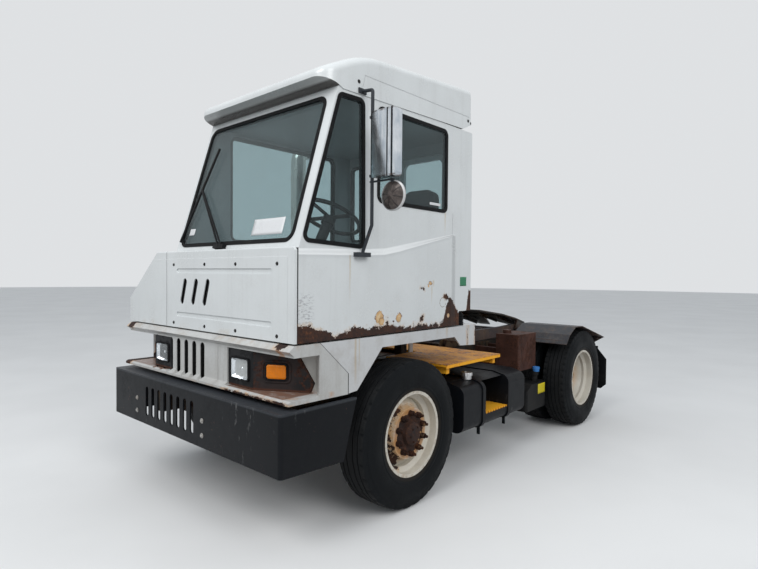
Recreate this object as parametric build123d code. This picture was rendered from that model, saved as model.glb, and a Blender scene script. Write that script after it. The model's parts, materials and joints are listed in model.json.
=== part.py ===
from build123d import *
import math
import os

# Terminal tractor: a short two-axle yard truck with an offset one-seat cab and a lifting fifth wheel.
# Lengths are millimetres. The vehicle is modelled about its own centreline: +X is the driver's left,
# the front faces -Y, +Z is up, Y = 0 is the front axle and Z = 0 is the ground. Every piece is then
# moved by DATUM, so that the origin lies on the ground under the middle of the overall length and width.

# Whole vehicle
WHEELBASE = 2946
FRONT_Y = -1150
REAR_Y = WHEELBASE + 694
SEAT_GAP = 0.3
STEEL_PLATE = 10
BODY_SKIN = 12

# Tyres and steel disc wheels
TYRE_RADIUS = 524
TYRE_WIDTH = 280
TREAD_WIDTH = 216
BEAD_RADIUS = 292
RIM_LIP_RADIUS = 302
RIM_WIDTH = 238
RIM_WALL = 11
DISC_THICKNESS = 14
HUB_PILOT_RADIUS = 110
FRONT_TYRE_X = 1004
REAR_OUTER_TYRE_X = 1080
DUAL_SPACING = 330
HAND_HOLES = 10
HAND_HOLE_RADIUS = 22
STUD_CIRCLE_RADIUS = 143
AXLE_Z = TYRE_RADIUS

# Steering
KINGPIN_X = 800
KINGPIN_RADIUS = 24
KNUCKLE_HEIGHT = 250
FORK_GAP = 110
FORK_RADIUS = 54
STEER_ARM_LENGTH = 230
STEER_ARM_X = KINGPIN_X
TIE_ROD_Z = 370
TIE_ROD_RADIUS = 19
SPINDLE_RADIUS = 40
BEARING_CLEARANCE = 0.05

# Chassis frame
FRAME_WIDTH = 864
FRAME_TOP = 930
RAIL_HEIGHT = 254
RAIL_FLANGE = 89
RAIL_WALL = 10
RAIL_FRONT = -1000
RAIL_REAR = WHEELBASE + 474
FRAME_BOTTOM = FRAME_TOP - RAIL_HEIGHT
RAIL_OUT = FRAME_WIDTH / 2
CROSS_MEMBERS_Y = (-880, 1240, 1700, WHEELBASE - 346, WHEELBASE + 414)
CROSS_MEMBER_LENGTH = 100

# Bumper
BUMPER_HALF_WIDTH = 1093
BUMPER_LOW = 508
BUMPER_TOP = 870
BUMPER_SIDE_REAR = (-544, -605, -656)
BUMPER_SIDE_Z = (870, 676, 490)
BUMPER_FLANGE_DEPTH = 150
BUMPER_SIDE_FLANGE = 33
BUMPER_CORNER = 24
BUMPER_SLOTS = 8
BUMPER_SLOT_X = (-542, 159)
BUMPER_SLOT_Z = (575, 796)
BUMPER_SLOT_WIDTH = 44

# Fascia below the cab
FASCIA_FRONT = -1034
FASCIA_LIP_FRONT = -1074
FASCIA_LOW = 900
FASCIA_TOP = 1240
BODY_HALF_WIDTH = 1068
SEAM_TOP_Y = -833
SEAM_LOW_Y = -594
SEAM_BEND_Z = 1027
GRILLE_SLOTS = 7
GRILLE_X = (-622, 100)
GRILLE_Z = (912, 1172)
GRILLE_SLOT_WIDTH = 56
POD_Z = (926, 1170)
POD_INNER_X = 386
POD_FOLD_X = 643
POD_TIP_X = 1000
POD_BACK_Y = -1012
POD_TIP_Y = -808
BEZEL_THICKNESS = 12

# Fenders over the front wheels
FENDER_REAR_Y = 901
FENDER_TOP_REAR = 1240
ARCH_TOP_Z = 1158
FENDER_LEDGE = 132

# Cab
CAB_LEFT = BODY_HALF_WIDTH
CAB_RIGHT = -352
CAB_FRONT = -1034
CAB_REAR = 820
CAB_LOW = 1251
CAB_WALL = 36
COWL_Z = 1812
COWL_Y = -1002
HEADER_Z = 2800
HEADER_Y = -702
CEILING_Z = 2815
PANEL_THICKNESS = 20
SHOULDER_TOP = 1812
SHOULDER_LOW = 1439
SHOULDER_SLOPE_X = -590
SHOULDER_RIGHT = -1072
SHOULDER_REAR = 350
NOTCH_X = (905, -227)
NOTCH_Y = 650
NOTCH_Z = 1362
SEAL_WIDTH = 26
SEAL_PROUD = 5
GLASS_THICKNESS = 6
WINDSCREEN_X = (-318, 1000)
WINDSCREEN_SLOPE = (28, 990)
QUARTER_WINDOW = ((-990, 1838), (-697, 2770), (-466, 2778), (-455, 1815))
LEFT_WINDOW = ((-342, 2128), (470, 2770))
RIGHT_WINDOW = ((-590, 1900), (565, 2756))
REAR_WINDOW = ((-230, 1960), (310, 2700))
DOORWAY = ((300, 1340), (870, 2690))

# Roof cap
VISOR_Y = -822
VISOR_TOP_Z = 2893
VISOR_LOW_Z = 2845
ROOF_KNEE = (-466, 3071)
ROOF_REAR_TOP = 3172
SKIRT_FRONT_Z = 2792
SKIRT_REAR_Z = 2823
ROOF_SKIN = 40
ROOF_OVERHANG = 6
ROOF_EDGE = 55
ROOF_BEND = 900
ROOF_REAR_CORNER = 60
VISOR_CORNER = 112

# Sliding rear door
DOOR_THICKNESS = 30
DOOR_GAP = 12
DOOR_OVERLAP = 36
DOOR_TRAVEL = 620
ROLLER_RADIUS = 14

# Lifting boom and fifth wheel
BOOM_PIVOT = (1500, 985)
BOOM_PIN_RADIUS = 32
BOOM_ARM_X = 400
BOOM_ARM_WIDTH = 50
BOOM_ARM_TOP = 1060
BOOM_ARM_LOW = 940
FIFTH_PIVOT = (WHEELBASE - 66, 1040)
FIFTH_TILT = 15.0
FIFTH_OFFSET = 84
FIFTH_THICKNESS = 16
FIFTH_HALF_WIDTH = 457
FIFTH_FRONT = 480
FIFTH_REAR = 440
KINGPIN_BORE = 26
THROAT_MOUTH = 190
CYLINDER_X = 235
BARREL_EYE = (WHEELBASE - 1046, 640)
ROD_EYE = (WHEELBASE - 476, 1000)
BARREL_RADIUS = 62
BARREL_BORE = 48
ROD_RADIUS = 28
BARREL_START = 80
BARREL_LENGTH = 470
CYLINDER_PIN_RADIUS = 20

# Rear mudguards and flaps
GUARD_X = (600, 1220)
GUARD_THICKNESS = 5
GUARD_LINE = (
    (WHEELBASE - 510, 940),
    (WHEELBASE - 420, 1032),
    (WHEELBASE - 267, 1106),
    (WHEELBASE - 79, 1103),
    (WHEELBASE + 606, 926),
)
GUARD_END_LOW = 730
FLAP_X = (610, 1220)
FLAP_Z = (290, 800)
FLAP_CORNER = (101, 152)
FLAP_THICKNESS = 8

# Tanks, steps and boxes
TANK_OUTER_X = 1128
TANK_INNER_X = RAIL_OUT + 30
TANK_LOW = 372
TANK_TOP = 772
TANK_CORNER = 74
TANK_FRONT_Y = 645
TANK_STEP_Y = (972, 1362)
TANK_REAR_Y = 1690
STRAP_WIDTH = 44
STRAP_PROUD = 9
STEP_TOP = 476
DECK_TOP = 950
DECK_OUTER_X = 1078
DECK_Y = (472, 1310)
DECK_LIP = 30
TANK_BAY = WHEELBASE - TYRE_RADIUS - TANK_REAR_Y
DEF_TANK = ((760, 1050), (TANK_REAR_Y + TANK_BAY * 210 / 732, TANK_REAR_Y + TANK_BAY * 640 / 732), (300, 560))
OIL_TANK = ((700, 950), (TANK_REAR_Y + TANK_BAY * 215 / 732, TANK_REAR_Y + TANK_BAY * 610 / 732), (690, 1055))
BATTERY_BOX = ((-1060, -470), (640, 1300), (420, 780))

# Datum: ground, under the middle of the overall length and width
MIRROR_OUTER_X = 1392
OVERALL_RIGHT_X = -(REAR_OUTER_TYRE_X + TYRE_WIDTH / 2)
DATUM = (
    -(MIRROR_OUTER_X + OVERALL_RIGHT_X) / 2,
    -(FRONT_Y + REAR_Y) / 2,
    0,
)

SIDES = (("left", 1), ("right", -1))


def block(x, y, z):
    """Box between two limits on each axis."""
    middle = ((x[0] + x[1]) / 2, (y[0] + y[1]) / 2, (z[0] + z[1]) / 2)
    return Pos(*middle) * Box(abs(x[1] - x[0]), abs(y[1] - y[0]), abs(z[1] - z[0]))


def outline(points, radius=0):
    """Closed face through the points, with its corners rounded."""
    face = Polygon(*points, align=None)
    return fillet(face.vertices(), radius) if radius else face


def side_profile(face, x0, x1):
    """Solid of a face drawn in (y, z), between two x values."""
    return Pos(x0, 0, 0) * extrude(Plane.YZ * face, amount=x1 - x0, dir=(1, 0, 0))


def front_profile(face, y0, y1):
    """Solid of a face drawn in (x, z), between two y values."""
    return Pos(0, y0, 0) * extrude(Plane.XZ * face, amount=y1 - y0, dir=(0, 1, 0))


def plan_profile(face, z0, z1):
    """Solid of a face drawn in (x, y), between two z values."""
    return Pos(0, 0, z0) * extrude(Plane.XY * face, amount=z1 - z0, dir=(0, 0, 1))


def raised(face, plane, low, high):
    """Solid of a face drawn on a plane, between two heights above it."""
    base = Pos(*(plane.z_dir * low)) * (plane * face)
    return extrude(base, amount=high - low, dir=plane.z_dir)


def rod(start, end, radius):
    """Round bar between two points."""
    axis = Vector(*end) - Vector(*start)
    base = Plane(origin=start, z_dir=axis)
    return base * Cylinder(radius, axis.length, align=(Align.CENTER, Align.CENTER, Align.MIN))


def tube(points, radius, bend):
    """Round bar along straight runs joined by arcs."""
    path = FilletPolyline(*points, radius=bend)
    return sweep(Plane(origin=path @ 0, z_dir=path % 0) * Circle(radius), path=path)


def turned(points, y, z):
    """Solid turned about the line through (y, z) along X, from a section in (x, radius)."""
    return Pos(0, y, z) * revolve(Polygon(*points, align=None), axis=Axis.X)


def mirrored(shape):
    """The same shape on the other side of the centreline."""
    return mirror(shape, about=Plane.YZ)


def slots(xs, z_range, width, count, y0, y1, lean=0):
    """Row of upright round-ended slots, as one cutter."""
    pitch = (xs[1] - xs[0] - width) / (count - 1)
    low, high = z_range
    length = high - low - width
    cutters = []
    for i in range(count):
        x = xs[0] + width / 2 + i * pitch
        face = Pos(x, (low + high) / 2) * Rot(0, 0, 90 - lean) * SlotCenterToCenter(length, width)
        cutters.append(front_profile(face, y0, y1))
    return cutters


# Wheels

def tyre(x):
    """Tyre section: tread, shoulders, bulging side walls and beads, turned about the axle."""
    half = TYRE_WIDTH / 2
    tread = TREAD_WIDTH / 2
    shoulder = TYRE_RADIUS - 18
    section = [
        (x - RIM_WIDTH / 2 + 14, BEAD_RADIUS),
        (x - RIM_WIDTH / 2 + 14, RIM_LIP_RADIUS + 1),
        (x - RIM_WIDTH / 2 - 2, RIM_LIP_RADIUS + 4),
        (x - half + 12, BEAD_RADIUS + 52),
        (x - half, BEAD_RADIUS + 118),
        (x - half + 10, BEAD_RADIUS + 180),
        (x - tread - 8, shoulder),
        (x - tread + 12, TYRE_RADIUS - 4),
        (x, TYRE_RADIUS),
        (x + tread - 12, TYRE_RADIUS - 4),
        (x + tread + 8, shoulder),
        (x + half - 10, BEAD_RADIUS + 180),
        (x + half, BEAD_RADIUS + 118),
        (x + half - 12, BEAD_RADIUS + 52),
        (x + RIM_WIDTH / 2 + 2, RIM_LIP_RADIUS + 4),
        (x + RIM_WIDTH / 2 - 14, RIM_LIP_RADIUS + 1),
        (x + RIM_WIDTH / 2 - 14, BEAD_RADIUS),
    ]
    return section


def rim_section(x):
    """Rim with its two lips, as a closed section in (x, radius)."""
    half = RIM_WIDTH / 2
    outer = BEAD_RADIUS - SEAT_GAP
    inner = outer - RIM_WALL
    well = outer - 34
    return [
        (x - half, RIM_LIP_RADIUS),
        (x - half + 12, RIM_LIP_RADIUS),
        (x - half + 13, outer),
        (x - 52, outer),
        (x - 34, well),
        (x + 34, well),
        (x + 52, outer),
        (x + half - 13, outer),
        (x + half - 12, RIM_LIP_RADIUS),
        (x + half, RIM_LIP_RADIUS),
        (x + half - 2, inner),
        (x + 58, inner),
        (x + 38, well - RIM_WALL),
        (x - 38, well - RIM_WALL),
        (x - 58, inner),
        (x - half + 2, inner),
    ]


def disc_section(x, dish, hub_radius):
    """Wheel disc from the rim well to the hub: dish is how far its middle stands out."""
    edge = BEAD_RADIUS - 34 - RIM_WALL + 2
    t = DISC_THICKNESS
    side = 1 if dish > 0 else -1
    return [
        (x, edge),
        (x + dish * 0.45, edge - 52),
        (x + dish, STUD_CIRCLE_RADIUS + 38),
        (x + dish, hub_radius),
        (x + dish - side * t, hub_radius),
        (x + dish - side * t, STUD_CIRCLE_RADIUS + 34),
        (x + dish * 0.45 - side * t, edge - 58),
        (x - side * t, edge),
    ]


def hand_holes(x, dish, y, z):
    """Ring of round hand holes through the cone of the disc."""
    radius = STUD_CIRCLE_RADIUS + 66
    holes = []
    for i in range(HAND_HOLES):
        angle = 2 * math.pi * i / HAND_HOLES
        cy = y + radius * math.cos(angle)
        cz = z + radius * math.sin(angle)
        holes.append(rod((x - abs(dish) - 40, cy, cz), (x + abs(dish) + 40, cy, cz), HAND_HOLE_RADIUS))
    return holes


FRONT_DISH = 92
REAR_DISH = -64
HUB_RADIUS = 92
HUB_NOSE = 1146
DRUM_RADIUS = 208
SPINDLE_REACH = 1090


def front_rim(side):
    """Front wheel: rim, dished disc, hub with its cap, and brake drum, bored for the spindle."""
    x = FRONT_TYRE_X
    rim = turned(rim_section(x), 0, AXLE_Z)
    disc = turned(disc_section(x - 4, FRONT_DISH, HUB_PILOT_RADIUS - 40), 0, AXLE_Z)
    face = x - 4 + FRONT_DISH
    hub = turned(
        [
            (x - 112, 0),
            (x - 112, DRUM_RADIUS),
            (x - 92, DRUM_RADIUS),
            (x + 30, DRUM_RADIUS - 12),
            (x + 30, 120),
            (face - DISC_THICKNESS, 108),
            (face, 84),
            (face + 30, 80),
            (HUB_NOSE - 8, 62),
            (HUB_NOSE, 48),
            (HUB_NOSE, 0),
        ],
        0,
        AXLE_Z,
    )
    wheel = rim + disc + hub
    wheel -= rod((x - 200, 0, AXLE_Z), (SPINDLE_REACH + 1, 0, AXLE_Z), SPINDLE_RADIUS + BEARING_CLEARANCE)
    for hole in hand_holes(x + 30, FRONT_DISH, 0, AXLE_Z):
        wheel -= hole & block((x + 32, x + 150), (-400, 400), (0, 1200))
    return wheel if side > 0 else mirrored(wheel)


def rear_rims(side):
    """Twin rear wheels bolted back to back on one hub and drum."""
    outer = REAR_OUTER_TYRE_X
    inner = outer - DUAL_SPACING
    mating = (outer + inner) / 2
    y = WHEELBASE
    wheel = turned(rim_section(outer), y, AXLE_Z) + turned(rim_section(inner), y, AXLE_Z)
    outer_dish = mating - outer
    wheel += turned(disc_section(outer, outer_dish, 60), y, AXLE_Z)
    wheel += turned(disc_section(inner, -outer_dish, 60), y, AXLE_Z)
    wheel += turned(
        [
            (inner - 96, 0),
            (inner - 96, DRUM_RADIUS),
            (inner + 40, DRUM_RADIUS),
            (mating - 20, 120),
            (mating + 20, 92),
            (mating + 120, 88),
            (mating + 150, 74),
            (mating + 150, 0),
        ],
        y,
        AXLE_Z,
    )
    wheel -= rod((inner - 200, y, AXLE_Z), (mating + 60, y, AXLE_Z), SPINDLE_RADIUS + BEARING_CLEARANCE)
    for hole in hand_holes(mating, 60, y, AXLE_Z):
        wheel -= hole & block((mating - 120, mating + 120), (y - 400, y + 400), (0, 1200))
    return wheel if side > 0 else mirrored(wheel)


def front_tyre(side):
    """Front tyre."""
    solid = turned(tyre(FRONT_TYRE_X), 0, AXLE_Z)
    return solid if side > 0 else mirrored(solid)


def rear_tyres(side):
    """Twin rear tyres of one side."""
    outer = turned(tyre(REAR_OUTER_TYRE_X), WHEELBASE, AXLE_Z)
    inner = turned(tyre(REAR_OUTER_TYRE_X - DUAL_SPACING), WHEELBASE, AXLE_Z)
    pair = Compound(children=[outer, inner])
    return pair if side > 0 else mirrored(pair)


# Axles and steering

def front_axle():
    """Dropped I-beam with an eye for the kingpin at each end and two spring seats."""
    beam_z = (AXLE_Z - 95, AXLE_Z - 5)
    web = block((-KINGPIN_X + 60, KINGPIN_X - 60), (-12, 12), beam_z)
    flanges = [
        block((-KINGPIN_X + 60, KINGPIN_X - 60), (-45, 45), (z, z + 18))
        for z in (beam_z[0], beam_z[1] - 18)
    ]
    beam = web + flanges[0] + flanges[1]
    for _, side in SIDES:
        eye = Pos(side * KINGPIN_X, 0, AXLE_Z) * Cylinder(52, FORK_GAP - 2 * SEAT_GAP)
        eye += block(
            (side * (KINGPIN_X - 64), side * (KINGPIN_X - 20)), (-45, 45), (AXLE_Z - 54, AXLE_Z + 54)
        )
        beam += eye
        beam += block(
            (side * SPRING_X - 45, side * SPRING_X + 45), (-80, 80), (beam_z[1] - 6, SPRING_SEAT_Z)
        )
        beam -= Pos(side * KINGPIN_X, 0, AXLE_Z) * Cylinder(KINGPIN_RADIUS + BEARING_CLEARANCE, 400)
    return beam


SPRING_X = RAIL_OUT - RAIL_FLANGE / 2
SPRING_SEAT_Z = AXLE_Z + 30
SPRING_LEAVES = (560, 430, 290)
LEAF_THICKNESS = 14
SPRING_WIDTH = 76
SPRING_CAMBER = 54


def spring_height(y):
    """Upper side of the main leaf at a distance from the axle."""
    return SPRING_SEAT_Z + len(SPRING_LEAVES) * LEAF_THICKNESS + SPRING_CAMBER * (y / SPRING_LEAVES[0]) ** 2


def spring_face():
    """Side view of a leaf pack: curved upper side, and steps where the shorter leaves end."""
    longest = SPRING_LEAVES[0]
    count = 12
    stations = [longest * (2 * i / count - 1) for i in range(count + 1)]
    upper = [(y, spring_height(y)) for y in stations]
    half_lower = [(0, spring_height(0) - len(SPRING_LEAVES) * LEAF_THICKNESS)]
    for index in range(len(SPRING_LEAVES) - 1, -1, -1):
        end = SPRING_LEAVES[index]
        half_lower.append((end, spring_height(end) - (index + 1) * LEAF_THICKNESS))
        if index:
            half_lower.append((end, spring_height(end) - index * LEAF_THICKNESS))
    lower = list(reversed(half_lower)) + [(-y, z) for y, z in half_lower[1:]]
    return outline(upper + lower)


def front_springs():
    """Leaf springs from hanger to hanger, clamped on the axle, with their brackets under the rails."""
    springs = []
    for _, side in SIDES:
        x0 = side * SPRING_X - SPRING_WIDTH / 2
        x1 = x0 + SPRING_WIDTH
        spring = side_profile(spring_face(), x0, x1)
        for end in (-1, 1):
            y = end * (SPRING_LEAVES[0] - 30)
            spring += block((x0, x1), (y - 50, y + 50), (spring_height(y) - 6, FRAME_BOTTOM))
        springs.append(spring)
    return Compound(children=springs)


def knuckle(side):
    """Steering knuckle: fork over the axle eye, kingpin, spindle and steering arm."""
    half = KNUCKLE_HEIGHT / 2
    fork = block((KINGPIN_X, KINGPIN_X + 64), (-FORK_RADIUS, FORK_RADIUS), (AXLE_Z - half, AXLE_Z + half))
    fork += Pos(KINGPIN_X, 0, AXLE_Z) * Cylinder(FORK_RADIUS, KNUCKLE_HEIGHT)
    reach = FORK_RADIUS + 2
    fork -= block((KINGPIN_X - reach, KINGPIN_X + 65), (-reach, reach), (AXLE_Z - FORK_GAP / 2, AXLE_Z + FORK_GAP / 2))
    fork += block((KINGPIN_X + 62, KINGPIN_X + 80), (-90, 90), (AXLE_Z - 100, AXLE_Z + 100))
    fork += Pos(KINGPIN_X, 0, AXLE_Z) * Cylinder(KINGPIN_RADIUS, KNUCKLE_HEIGHT)
    fork += rod((KINGPIN_X + 66, 0, AXLE_Z), (SPINDLE_REACH, 0, AXLE_Z), SPINDLE_RADIUS)
    arm_z = (AXLE_Z - half, AXLE_Z - half + 24)
    arm = plan_profile(
        outline(
            [
                (KINGPIN_X - 50, 40),
                (KINGPIN_X + 30, 40),
                (STEER_ARM_X + 26, STEER_ARM_LENGTH + 20),
                (STEER_ARM_X - 26, STEER_ARM_LENGTH + 20),
            ]
        ),
        *arm_z,
    )
    fork += arm
    pin = Pos(STEER_ARM_X, STEER_ARM_LENGTH, TIE_ROD_Z + 6) * Cylinder(12, 66)
    fork += pin
    return fork if side > 0 else mirrored(fork)


def tie_rod():
    """Track rod with an eye round each arm's pin."""
    z = TIE_ROD_Z
    bar = rod((-STEER_ARM_X, STEER_ARM_LENGTH, z), (STEER_ARM_X, STEER_ARM_LENGTH, z), TIE_ROD_RADIUS)
    for _, side in SIDES:
        bar += Pos(side * STEER_ARM_X, STEER_ARM_LENGTH, z) * Cylinder(30, 42)
    for _, side in SIDES:
        bar -= Pos(side * STEER_ARM_X, STEER_ARM_LENGTH, z) * Cylinder(12 + BEARING_CLEARANCE, 80)
    return bar


def rear_axle():
    """Banjo axle with its tubes, bolted up to the frame by two saddle brackets."""
    y = WHEELBASE
    tube_end = REAR_OUTER_TYRE_X - DUAL_SPACING - 100
    axle = rod((-tube_end, y, AXLE_Z), (tube_end, y, AXLE_Z), 66)
    axle += Pos(0, y, AXLE_Z) * Rot(0, 90, 0) * Cylinder(150, 190)
    axle += rod((0, y, AXLE_Z + 10), (0, y - 240, AXLE_Z + 10), 74)
    spindle_end = (REAR_OUTER_TYRE_X - DUAL_SPACING / 2) + 40
    axle += rod((-spindle_end, y, AXLE_Z), (spindle_end, y, AXLE_Z), SPINDLE_RADIUS)
    for _, side in SIDES:
        x = side * (RAIL_OUT - 44)
        axle += side_profile(
            outline(
                [
                    (y - 210, FRAME_BOTTOM),
                    (y + 210, FRAME_BOTTOM),
                    (y + 210, FRAME_BOTTOM - 16),
                    (y + 80, AXLE_Z - 20),
                    (y - 80, AXLE_Z - 20),
                    (y - 210, FRAME_BOTTOM - 16),
                ]
            ),
            x - 40,
            x + 40,
        )
    return axle


def drive_shaft():
    """Propeller shaft with a joint at each end, from the gearbox to the rear axle."""
    front = GEARBOX_REAR + SEAT_GAP
    rear = WHEELBASE - 240 - SEAT_GAP
    z_front, z_rear = 612, AXLE_Z + 10
    shaft = rod((0, front + 60, z_front), (0, rear - 60, z_rear), 40)
    shaft += rod((0, front, z_front), (0, front + 80, z_front), 62)
    shaft += rod((0, rear - 80, z_rear), (0, rear, z_rear), 62)
    return shaft


ENGINE = ((-300, 320), (-560, 520), (600, 1195))
GEARBOX_REAR = 1180


def engine():
    """Engine and gearbox as one plain block, on its mounts between the rails."""
    solid = block(*ENGINE)
    solid += block((-190, 190), (500, GEARBOX_REAR), (560, 900))
    inside = RAIL_OUT - RAIL_WALL - 0.0
    for y in (-420, 380):
        solid += block((-inside, inside), (y - 50, y + 50), (730, 790))
    return solid


def radiator():
    """Radiator core with its side tanks, standing behind the grille on the first cross-member."""
    core = block((-640, 300), (-985, -905), (FRAME_TOP, 1215))
    core += block((-660, -600), (-990, -900), (FRAME_TOP, 1222))
    core += block((260, 320), (-990, -900), (FRAME_TOP, 1222))
    return core


# Chassis

def rail(side):
    """One C-section rail, open towards the middle."""
    x = side * RAIL_OUT
    inner = side * (RAIL_OUT - RAIL_FLANGE)
    web_in = side * (RAIL_OUT - RAIL_WALL)
    section = outline(
        [
            (x, FRAME_BOTTOM),
            (x, FRAME_TOP),
            (inner, FRAME_TOP),
            (inner, FRAME_TOP - RAIL_WALL),
            (web_in, FRAME_TOP - RAIL_WALL),
            (web_in, FRAME_BOTTOM + RAIL_WALL),
            (inner, FRAME_BOTTOM + RAIL_WALL),
            (inner, FRAME_BOTTOM),
        ]
    )
    return front_profile(section, RAIL_FRONT, RAIL_REAR)


def frame():
    """Ladder frame: two rails, cross-members, the front beam and the flap hangers."""
    ladder = rail(1) + rail(-1)
    inside = RAIL_OUT - RAIL_WALL
    for y in CROSS_MEMBERS_Y:
        member = block(
            (-inside, inside),
            (y - CROSS_MEMBER_LENGTH / 2, y + CROSS_MEMBER_LENGTH / 2),
            (FRAME_BOTTOM + RAIL_WALL, FRAME_TOP - RAIL_WALL),
        )
        member -= block(
            (-inside + 12, inside - 12),
            (y - CROSS_MEMBER_LENGTH / 2, y + CROSS_MEMBER_LENGTH / 2 - 12),
            (FRAME_BOTTOM + RAIL_WALL + 12, FRAME_TOP - RAIL_WALL - 12),
        )
        ladder += member
    support_y = (DRUM_Y - 38, DRUM_Y + 38)
    beam_top = FENDER_TOP_REAR - BODY_SKIN - SEAT_GAP
    ladder += block((-RAIL_OUT, BODY_HALF_WIDTH - BODY_SKIN - 6), support_y, (beam_top - 58, beam_top))
    for _, side in SIDES:
        ladder += block((side * (RAIL_OUT - 80), side * RAIL_OUT), support_y, (FRAME_TOP - 1, beam_top - 57))
    pad_x = DRUM_MOUNT_X[1]
    ladder += block((pad_x - 57, pad_x + 57), (DRUM_Y - 57, DRUM_Y + 57), (beam_top - 1, FENDER_TOP_REAR))
    front_beam = block((-BUMPER_BEAM_X, BUMPER_BEAM_X), (RAIL_FRONT - 10, RAIL_FRONT + 60), (640, 820))
    front_beam -= block((-BUMPER_BEAM_X + 14, BUMPER_BEAM_X - 14), (RAIL_FRONT + 4, RAIL_FRONT + 61), (654, 806))
    ladder += front_beam
    for _, side in SIDES:
        ladder += block(
            (side * 300, side * 360), (FRONT_Y + STEEL_PLATE, RAIL_FRONT - 10), (640, 820)
        )
    for _, side in SIDES:
        hanger_y = REAR_Y - FLAP_THICKNESS - SEAT_GAP
        ladder += tube(
            [
                (side * (RAIL_OUT - 5), RAIL_REAR - 60, FLAP_HANGER_Z),
                (side * 500, RAIL_REAR - 60, FLAP_HANGER_Z),
                (side * 560, hanger_y - 18, FLAP_HANGER_Z),
                (side * (FLAP_X[1] - 120), hanger_y - 18, FLAP_HANGER_Z),
            ],
            18,
            40,
        )
    for hole in rail_bolt_holes():
        ladder -= hole
    return ladder


BUMPER_BEAM_X = 560
FLAP_HANGER_Z = 700


def bumper():
    """Full-width steel bumper: front plate and raked sides folded from one sheet, flanged at the top."""
    rear_top, rear_mid, rear_low = BUMPER_SIDE_REAR
    z_top, z_mid, z_low = BUMPER_SIDE_Z
    side_face = outline(
        [
            (FRONT_Y, BUMPER_LOW),
            (FRONT_Y, BUMPER_TOP),
            (rear_top, z_top),
            (rear_mid, z_mid),
            (rear_low, z_low),
        ]
    )
    half = BUMPER_HALF_WIDTH
    shell = side_profile(side_face, -half, half)
    corners = [
        edge
        for edge in shell.edges().filter_by(Axis.Z)
        if abs(edge.center().Y - FRONT_Y) < 1
    ]
    shell = fillet(corners, BUMPER_CORNER)
    shell -= block(
        (-half + STEEL_PLATE, half - STEEL_PLATE),
        (FRONT_Y + STEEL_PLATE, 0),
        (0, BUMPER_TOP - STEEL_PLATE),
    )
    shell -= block(
        (-half + BUMPER_SIDE_FLANGE, half - BUMPER_SIDE_FLANGE),
        (FRONT_Y + BUMPER_FLANGE_DEPTH, 0),
        (0, BUMPER_TOP + 1),
    )
    for cutter in slots(
        BUMPER_SLOT_X, BUMPER_SLOT_Z, BUMPER_SLOT_WIDTH, BUMPER_SLOTS, FRONT_Y - 5, FRONT_Y + STEEL_PLATE + 5
    ):
        shell -= cutter
    return shell


def fascia_side():
    """Side view of the fascia, from its lower lip to the seam with the fender."""
    return outline(
        [
            (FASCIA_LIP_FRONT, FASCIA_LOW),
            (FASCIA_LIP_FRONT, FASCIA_LOW + 16),
            (FASCIA_FRONT, FASCIA_LOW + 40),
            (FASCIA_FRONT, FASCIA_TOP - 60),
            (FASCIA_FRONT - 36, FASCIA_TOP - 32),
            (FASCIA_FRONT, FASCIA_TOP),
            (SEAM_TOP_Y, FASCIA_TOP),
            (SEAM_LOW_Y, SEAM_BEND_Z),
            (SEAM_LOW_Y, FASCIA_LOW - 4),
        ]
    )


def pod_recess():
    """Space of the lamp pocket, cut into the corner of the fascia."""
    face = outline(
        [
            (POD_INNER_X, FASCIA_LIP_FRONT - 60),
            (POD_INNER_X, POD_BACK_Y),
            (POD_FOLD_X, POD_BACK_Y),
            (POD_TIP_X, POD_TIP_Y),
            (BODY_HALF_WIDTH - BODY_SKIN, POD_TIP_Y - 30),
            (BODY_HALF_WIDTH + 60, POD_TIP_Y - 50),
            (BODY_HALF_WIDTH + 60, FASCIA_LIP_FRONT - 60),
        ]
    )
    return plan_profile(face, *POD_Z)


def fascia():
    """Moulded front skirt between bumper and cab, with the grille slots and the lamp pockets."""
    half = BODY_HALF_WIDTH
    outer = side_profile(fascia_side(), -half, half)
    inner = side_profile(
        outline(
            [
                (FASCIA_FRONT + BODY_SKIN, FASCIA_LOW - 20),
                (FASCIA_FRONT + BODY_SKIN, FASCIA_TOP - BODY_SKIN),
                (SEAM_TOP_Y + 400, FASCIA_TOP - BODY_SKIN),
                (SEAM_TOP_Y + 400, FASCIA_LOW - 20),
            ]
        ),
        -half + BODY_SKIN,
        half - BODY_SKIN,
    )
    pocket_walls = plan_profile(
        outline(
            [
                (POD_INNER_X - BODY_SKIN, FASCIA_FRONT + 1),
                (POD_INNER_X - BODY_SKIN, POD_BACK_Y + BODY_SKIN),
                (POD_FOLD_X, POD_BACK_Y + BODY_SKIN),
                (POD_TIP_X, POD_TIP_Y + BODY_SKIN),
                (half - 1, POD_TIP_Y + BODY_SKIN),
                (half - 1, FASCIA_FRONT + 1),
            ]
        ),
        POD_Z[0] - BODY_SKIN,
        POD_Z[1] + BODY_SKIN,
    )
    skin = outer - inner
    for side in (1, -1):
        walls = pocket_walls if side > 0 else mirrored(pocket_walls)
        recess = pod_recess() if side > 0 else mirrored(pod_recess())
        skin += walls
        skin -= recess
    for cutter in slots(
        GRILLE_X, GRILLE_Z, GRILLE_SLOT_WIDTH, GRILLE_SLOTS, FASCIA_FRONT - 60, FASCIA_FRONT + BODY_SKIN + 5
    ):
        skin -= cutter
    skin -= block((-half + 60, half - 60), (FASCIA_FRONT + BODY_SKIN + 40, SEAM_TOP_Y + 10), (FASCIA_TOP - BODY_SKIN - 1, FASCIA_TOP + 1))
    return skin


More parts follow.
